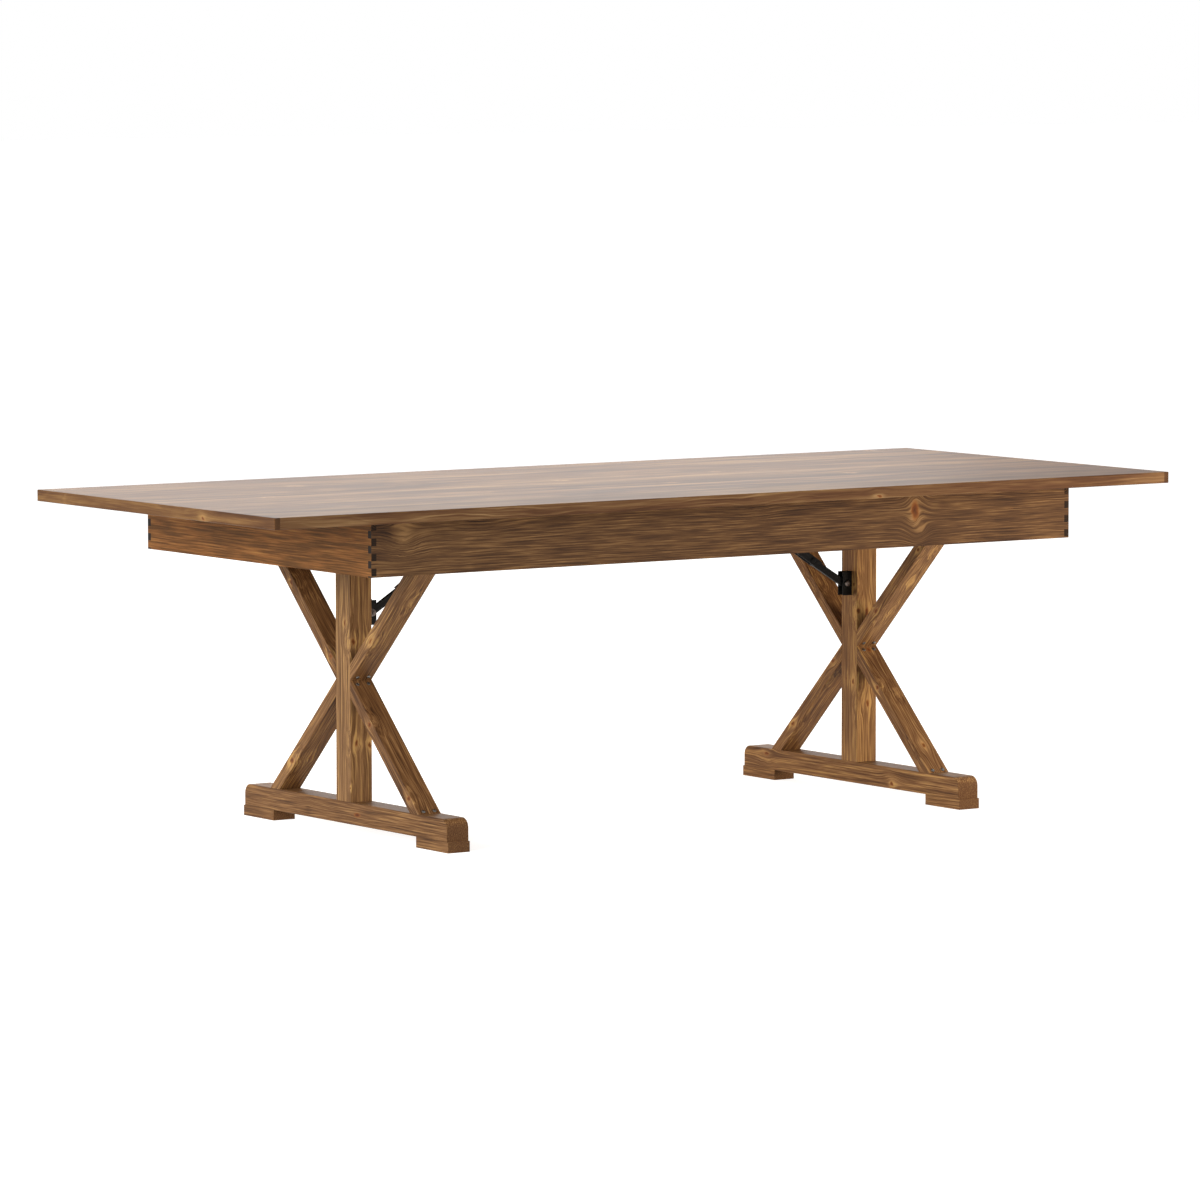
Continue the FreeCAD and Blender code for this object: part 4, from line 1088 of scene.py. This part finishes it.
@dataclass
class ApronBox:
    """The finger-jointed apron with its battens, blocks and hinge cleats."""

    finishes: Finishes

    def dress(self) -> None:
        """Stains every piece."""
        # Knots and broad patches of the front board. The two patches of radius 80 mm are painted light and
        # shade: the one near the left end pales the board, and the one near the right end darkens it.
        marks = (
            Knot((510, -471.5, 701), 30, 0.5, 0.72, 0.3, 0.55),
            Knot((526, -471.5, 676), 15, 0.8, 0.01, 0.9, 0.25),
            Knot((-871, -471.5, 720), 24, 1.1, 0.01, 0.8, 0.35),
            Knot((-926, -471.5, 727), 24, 1.3, 0.01, 0.8, -0.45, 0.0),
            Knot((-660, -471.5, 740), 14, 3.0, 0.01, 0.8, -0.3, 0.6),
            Knot((50, -471.5, 738), 14, 3.0, 0.01, 0.8, -0.3, 0.6),
            Knot((780, -471.5, 700), 80, 4.0, 0.01, 0.6, -0.07, 0.0),
            Knot((-600, -471.5, 690), 80, 3.5, 0.01, 0.6, 0.08, 0.0),
        )
        front = Grain((1, 0, 0), (0, 9, 64), 11, marks, 30)
        rear = Grain((1, 0, 0), (0, -9, -60), 23, (Knot((-310, 471.5, 664), 15, 1.2, 0.5, 0.8),), 24)
        left = Grain((0, 1, 0), (9, 0, 70), 31, core=20)
        right = Grain((0, 1, 0), (-9, 0, 66), 43, core=22)
        for node, finish, grain in (
            ("apron_front", Finish.APRON, front), ("apron_rear", Finish.APRON, rear),
            ("apron_left_end", Finish.APRON_END, left), ("apron_right_end", Finish.APRON_END, right),
        ):
            self.finishes.stain(node, finish, grain)
        hidden = (
            ("centre_batten", (0, 1, 0)), ("end_batten_left", (0, 1, 0)), ("end_batten_right", (0, 1, 0)),
            ("hinge_cleat_left", (0, 1, 0)), ("hinge_cleat_right", (0, 1, 0)), ("corner_blocks", (0, 0, 1)),
        )
        for i, (node, along) in enumerate(hidden):
            self.finishes.stain(node, Finish.UNDERSIDE, Grain(along, (35, 12, 45), 71 + 5 * i))


# ---------------------------------------------------------------- the legs
class Side(Enum):
    """An end of the table: 1 at positive X."""

    RIGHT = 1
    LEFT = -1

    @property
    def word(self) -> str:
        """The side's name in CAD nodes."""
        return self.name.lower()


BRACKET_EASING = 0.5  # the rounding of a bracket's edges, in mm


@dataclass
class LegFrame:
    """A post with four braces between a top rail and a foot beam."""

    finishes: Finishes
    side: Side
    knots: dict[str, tuple[Knot, ...]]
    brace_angle: float = 46.0
    brace_heart: float = 34.0
    brace_offset: float = 14.0

    def dress(self) -> None:
        """Stains every stick."""
        word, seed = self.side.word, LEG_WOOD_SEEDS[self.side]
        slope = math.radians(self.brace_angle)
        sticks = [
            (f"post_{word}", (0, 0, 1), (24, 38, 0)),
            (f"top_rail_{word}", (0, 1, 0), (30, 0, 50)),
            (f"foot_beam_{word}", (0, 1, 0), (46, 0, -22)),
        ]
        for level, up in (("upper", 1), ("lower", -1)):
            for place, out in (("front", -1), ("rear", 1)):
                along = (0, out * math.sin(slope), up * math.cos(slope))
                # The heart of each brace lies behind its outer face, so that face shows arches.
                inward = Vector((0, -out * math.cos(slope), up * math.sin(slope))) * self.brace_heart
                pith = inward + Vector((self.brace_offset * out, 0, 0))
                sticks.append((f"brace_{level}_{place}_{word}", along, pith))
        for place in ("front", "rear"):
            sticks.append((f"foot_pad_{place}_{word}", (0, 1, 0), (25, 0, -45)))
        for i, (node, along, pith) in enumerate(sticks):
            grain = Grain(
                along, pith, seed + 9 * i, self.knots.get(node, ()),
                sapwood=LEG_PAINTED_LIGHT_RADIUS.get(node, FAR), shade=LEG_TONE_AND_LIGHT.get(node, 0.0),
            )
            finish = Finish.POST if node == "post_left" else Finish.LEG
            self.finishes.stain(node, finish, grain)
        self.finishes.stain(f"post_dowels_{word}", Finish.DOWEL, Grain((0, 0, 1), (10, 60, 0), seed))


@dataclass
class Stay:
    """The folding stay of one leg: its two arms, its knee rivets and the bracket on the post."""

    finishes: Finishes
    side: Side
    rivet_radius: float = 6.5
    rivet_height: float = 2.2
    shank_radius: float = 4.0
    shank_depth: float = 2.0
    arm_easing: float = 0.7

    def build(self) -> None:
        """Makes the arms, the bracket and the rivets."""
        word = self.side.word
        for node, body, easing in (
            (f"stay_upper_arm_{word}", f"{word}_upper_arm", self.arm_easing),
            (f"stay_lower_arm_{word}", f"{word}_lower_arm", self.arm_easing),
            (f"leg_bracket_{word}", f"{word}_leg", BRACKET_EASING),
        ):
            self.finishes.fitting(eased_copy(node, easing), node + "_eased", body, Metal.BLACK, node)
        self._rivets(f"knee_rivets_{word}", f"{word}_upper_arm")

    def _rivets(self, node: str, body: str) -> None:
        """Replaces the knee rivets with ones that have domed heads."""
        low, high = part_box(node)
        middle = (low + high) / 2
        r, h = self.rivet_radius, self.rivet_height
        cheek = (high.y - low.y) / 2 / MM - h
        shank = [(self.shank_radius / r, -self.shank_depth / h), (self.shank_radius / r, 0.0)]
        dome = [(0.985, 0.0), (1.0, 0.16), (0.97, 0.42), (0.84, 0.76), (0.6, 0.96), (0.3, 1.0)]
        parts = []
        for turn in (-1, 1):
            solid = bmesh.new()
            shell(solid, [circle(r * share, cheek + h * rise, 24) for share, rise in shank + dome])
            placing = Matrix.Translation(middle) @ Matrix.Rotation(-turn * math.pi / 2, 4, "X")
            parts.append(to_mesh(solid, "rivet", placing))
        mesh = gathered(parts, node, math.radians(40))
        self.finishes.fitting(mesh, node + "_domed", body, Metal.BLACK, node)


# ---------------------------------------------------------------- studio
@dataclass
class Studio:
    """A white floor and surround, soft lamps, and the camera."""

    yaw: float = 34.330
    pitch: float = -5.111
    roll: float = -0.046
    camera_place: Place = (-8884.5, -12958.3, 1893.0)
    focal_pixels: float = 6892.2
    picture: float = 1200.0
    sensor: float = 36.0
    ambient: float = 0.6
    floor_half: float = 60.0
    floor_colour: str = "#c9c8c6"
    floor_glow: float = 0.74
    view_end: float = 400.0
    seen_rays: tuple[str, ...] = ("Is Camera Ray", "Is Glossy Ray", "Is Transmission Ray")

    def build(self) -> None:
        """Makes everything round the table."""
        self._camera()
        self._floor()
        self._world()
        self._lamp("key", (-7.4, -1.8, 3.0), (-0.3, 0.0, 0.6), 3.6, 560.0)
        self._lamp("fill", (2.4, -2.2, 0.3), (0.75, 0.0, 0.1), 1.1, 96.0, "#ffeeda", False)
        self._lamp("low", (-0.85, 2.7, 0.5), (0.7, 0.0, 0.35), 0.5, 60.0, "#ffe6c8", False)
        self._lamp("rear", (2.2, 6.6, 2.2), (0.0, 0.0, 0.76), 6.5, 160.0, "#fffaf5")
        self._lamp("overhead", (0.5, 1.5, 4.5), (0.0, 0.0, 0.6), 4.0, 90.0)

    def _camera(self) -> None:
        """Makes the camera from its measured turn and focal length."""
        yaw, pitch, roll = (math.radians(a) for a in (self.yaw, self.pitch, self.roll))
        ahead = Vector((math.sin(yaw) * math.cos(pitch), math.cos(yaw) * math.cos(pitch), math.sin(pitch)))
        right = Vector((math.cos(yaw), -math.sin(yaw), 0))
        up = right.cross(ahead)
        right, up = right * math.cos(roll) + up * math.sin(roll), up * math.cos(roll) - right * math.sin(roll)
        data = bpy.data.cameras.new("camera")
        data.sensor_width = self.sensor
        data.lens = self.focal_pixels / self.picture * self.sensor
        data.clip_end = self.view_end
        camera = placed("camera", data)
        turned = Matrix((right, up, -ahead)).transposed().to_4x4()
        camera.matrix_world = Matrix.Translation(Vector(self.camera_place) * MM) @ turned
        bpy.context.scene.camera = camera

    def _seen_share(self, tree: NodeTree) -> Node:
        """One for the rays that see the white studio, and nought for those that light it."""
        path = add(tree, "ShaderNodeLightPath")
        share: object = 0.0
        for name in self.seen_rays:
            share = maths(tree, "MAXIMUM", path.outputs[name], share)
        return share

    def _floor(self) -> None:
        """Makes a white floor that keeps the table's shadow."""
        solid = bmesh.new()
        bmesh.ops.create_grid(solid, x_segments=4, y_segments=4, size=self.floor_half)
        mesh = bpy.data.meshes.new("floor")
        solid.to_mesh(mesh)
        solid.free()
        floor = placed("floor", mesh)
        made = bpy.data.materials.new("white studio floor")
        tree = emptied(made)
        paint = add(tree, "ShaderNodeBsdfDiffuse", {"Color": linear(self.floor_colour), "Roughness": 0.3})
        glow = maths(tree, "MULTIPLY", self._seen_share(tree), self.floor_glow)
        light = add(tree, "ShaderNodeEmission", {"Color": (1, 1, 1, 1), "Strength": glow})
        both = add(tree, "ShaderNodeAddShader", {0: paint, 1: light})
        add(tree, "ShaderNodeOutputMaterial", {"Surface": both})
        mesh.materials.append(made)

    def _world(self) -> None:
        """A white surround to look at, and a softer one to be lit by."""
        world = bpy.data.worlds.new("studio")
        bpy.context.scene.world = world
        tree = emptied(world)
        strength = ranged(tree, self._seen_share(tree), low=self.ambient, high=1.0)
        light = add(tree, "ShaderNodeBackground", {"Color": (1, 1, 1, 1), "Strength": strength})
        add(tree, "ShaderNodeOutputWorld", {"Surface": light})

    @staticmethod
    def _lamp(
        name: str, place: Place, target: Place, size: float, power: float, tint: str = "#ffffff",
        mirrored: bool = True,
    ) -> None:
        """Hangs a square soft lamp.

        Args:
            name: its name.
            place: where it hangs, in metres.
            target: what it points at.
            size: its side, in metres.
            power: its power, in watts.
            tint: its colour.
            mirrored: whether varnish and metal mirror it.
        """
        data = bpy.data.lights.new(name, "AREA")
        data.size = size
        data.energy = power
        data.color = linear(tint)[:3]
        lamp = placed(name, data)
        lamp.visible_camera = False
        lamp.visible_glossy = mirrored
        towards = Vector(target) - Vector(place)
        lamp.matrix_world = Matrix.Translation(place) @ towards.to_track_quat("-Z", "Y").to_matrix().to_4x4()


# ---------------------------------------------------------------- the whole table
LEG_KNOTS: dict[Side, dict[str, tuple[Knot, ...]]] = {
    Side.LEFT: {
        "foot_beam_left": (
            Knot((-729.5, -57, 48), 5, 2.6, 1.0, 0.6, 0.0, 0.3),
            Knot((-729.5, 150, 40), 11, 1.2, 0.01, 1.3, -0.15, 0.3),
        ),
        "post_left": (
            Knot((-729.5, -8, 474), 9, 2.2), Knot((-722, -30.5, 433), 12), Knot((-697, -30.5, 429), 12),
            Knot((-713, -30.5, 206), 11), Knot((-678, -30.5, 199), 13), Knot((-729.5, -27, 105), 5),
        ),
        "brace_upper_front_left": (Knot((-729.5, -114, 443), 14), Knot((-690, -235, 530), 13)),
        "brace_lower_front_left": (Knot((-729.5, -108, 255), 12), Knot((-729.5, -269, 106), 12)),
        "brace_upper_rear_left": (
            Knot((-729.5, 218, 550), 13), Knot((-729.5, 53, 396), 13), Knot((-700, 222, 520), 14),
        ),
        "brace_lower_rear_left": (Knot((-729.5, 217, 146), 14), Knot((-700, 190, 150), 13)),
    },
    Side.RIGHT: {
        "foot_beam_right": (Knot((672.5, -169, 35), 12), Knot((672.5, 330, 60), 12, 2.0)),
        "post_right": (
            Knot((672.5, -17, 491), 9), Knot((672.5, -16, 263), 11), Knot((672.5, 6, 267), 9),
            Knot((676, -30.5, 430), 10), Knot((698, -30.5, 427), 14), Knot((705, -30.5, 211), 13),
        ),
        "brace_upper_front_right": (
            Knot((672.5, -267, 590), 11), Knot((672.5, -104, 436), 12), Knot((712, -285, 575), 11),
            Knot((705, -202, 506), 12), Knot((705, -121, 427), 13),
        ),
        "brace_lower_front_right": (
            Knot((701, -42, 339), 11, 1.4, 0.6), Knot((672.5, -109, 257), 12), Knot((705, -142, 263), 11),
            Knot((701, -252, 133), 13),
        ),
        "brace_upper_rear_right": (Knot((672.5, 55, 454), 13), Knot((690, 150, 480), 13)),
        "brace_lower_rear_right": (
            Knot((672.5, 63, 306), 12), Knot((672.5, 68, 253), 12), Knot((672.5, 223, 142), 13),
        ),
    },
}


# How far from the heart of its tree each stick turns pale, in millimetres. On the right post this paleness is
# painted light: it pales the post's front face and the front half of its left face.
LEG_PAINTED_LIGHT_RADIUS: dict[str, float] = {"post_right": 62.0}

# How much paler each stick is than its fellows, or darker below nought: partly each stick's own tone, and
# partly painted light and shade, paler where more light falls on a stick and darker where it lies in shade.
LEG_TONE_AND_LIGHT: dict[str, float] = {
    "post_left": 0.07, "foot_beam_left": -0.07, "brace_lower_front_left": -0.12, "brace_upper_rear_left": -0.08,
    "post_right": 0.03, "brace_upper_front_right": 0.05, "brace_lower_front_right": -0.04,
}

# Where a bolt of the right side lies: its X and Z in metres. The left side mirrors it.
LEG_BOLT = (0.659, 0.494)
ANCHOR_BOLT = (0.300327, 0.7225)
SPACER_WIDTH = 3.2  # of a leg bolt, in mm

# The seeds of the legs' grain and of the screws' turns.
LEG_WOOD_SEEDS = {Side.RIGHT: 101, Side.LEFT: 201}
LEG_SCREW_SEEDS = {Side.RIGHT: 5, Side.LEFT: 8}
TOP_SCREW_SEED = 13


def main() -> None:
    """Builds and dresses the table from the top down."""
    logging.basicConfig(level=logging.INFO, format="%(name)s: %(message)s")
    bpy.context.scene.view_settings.view_transform = "Standard"
    Studio().build()
    finishes = Finishes()
    TableTop(finishes).dress()
    ApronBox(finishes).dress()
    screws = ScrewMaker(finishes)
    bolts = BoltMaker(finishes)
    for side in Side:
        word = side.word
        LegFrame(finishes, side, LEG_KNOTS[side]).dress()
        Stay(finishes, side).build()
        finishes.plate(f"hinge_leaves_{word}_leg", Metal.HINGE)
        for node in (f"brace_screws_{word}", f"pad_screws_{word}", f"leg_hardware_screws_{word}"):
            screws.drive(node, f"{word}_leg", LEG_SCREW_SEEDS[side])
        x, z = LEG_BOLT
        bolts.fit(f"leg_bolt_{word}", f"{word}_leg", [(side.value * x, z, side.value)], SPACER_WIDTH)
    for node in ("hinge_leaves_top", "hinge_pins"):
        finishes.plate(node, Metal.HINGE)
    brackets = "anchor_brackets"
    copy = eased_copy(brackets, BRACKET_EASING)
    finishes.fitting(copy, brackets + "_eased", "table_top", Metal.BLACK, brackets)
    x, z = ANCHOR_BOLT
    bolts.fit("anchor_bolts", "table_top", [(x, z, 1), (-x, z, -1)], 0)
    screws.drive("top_hardware_screws", "table_top", TOP_SCREW_SEED)


if __name__ == "__main__":
    main()
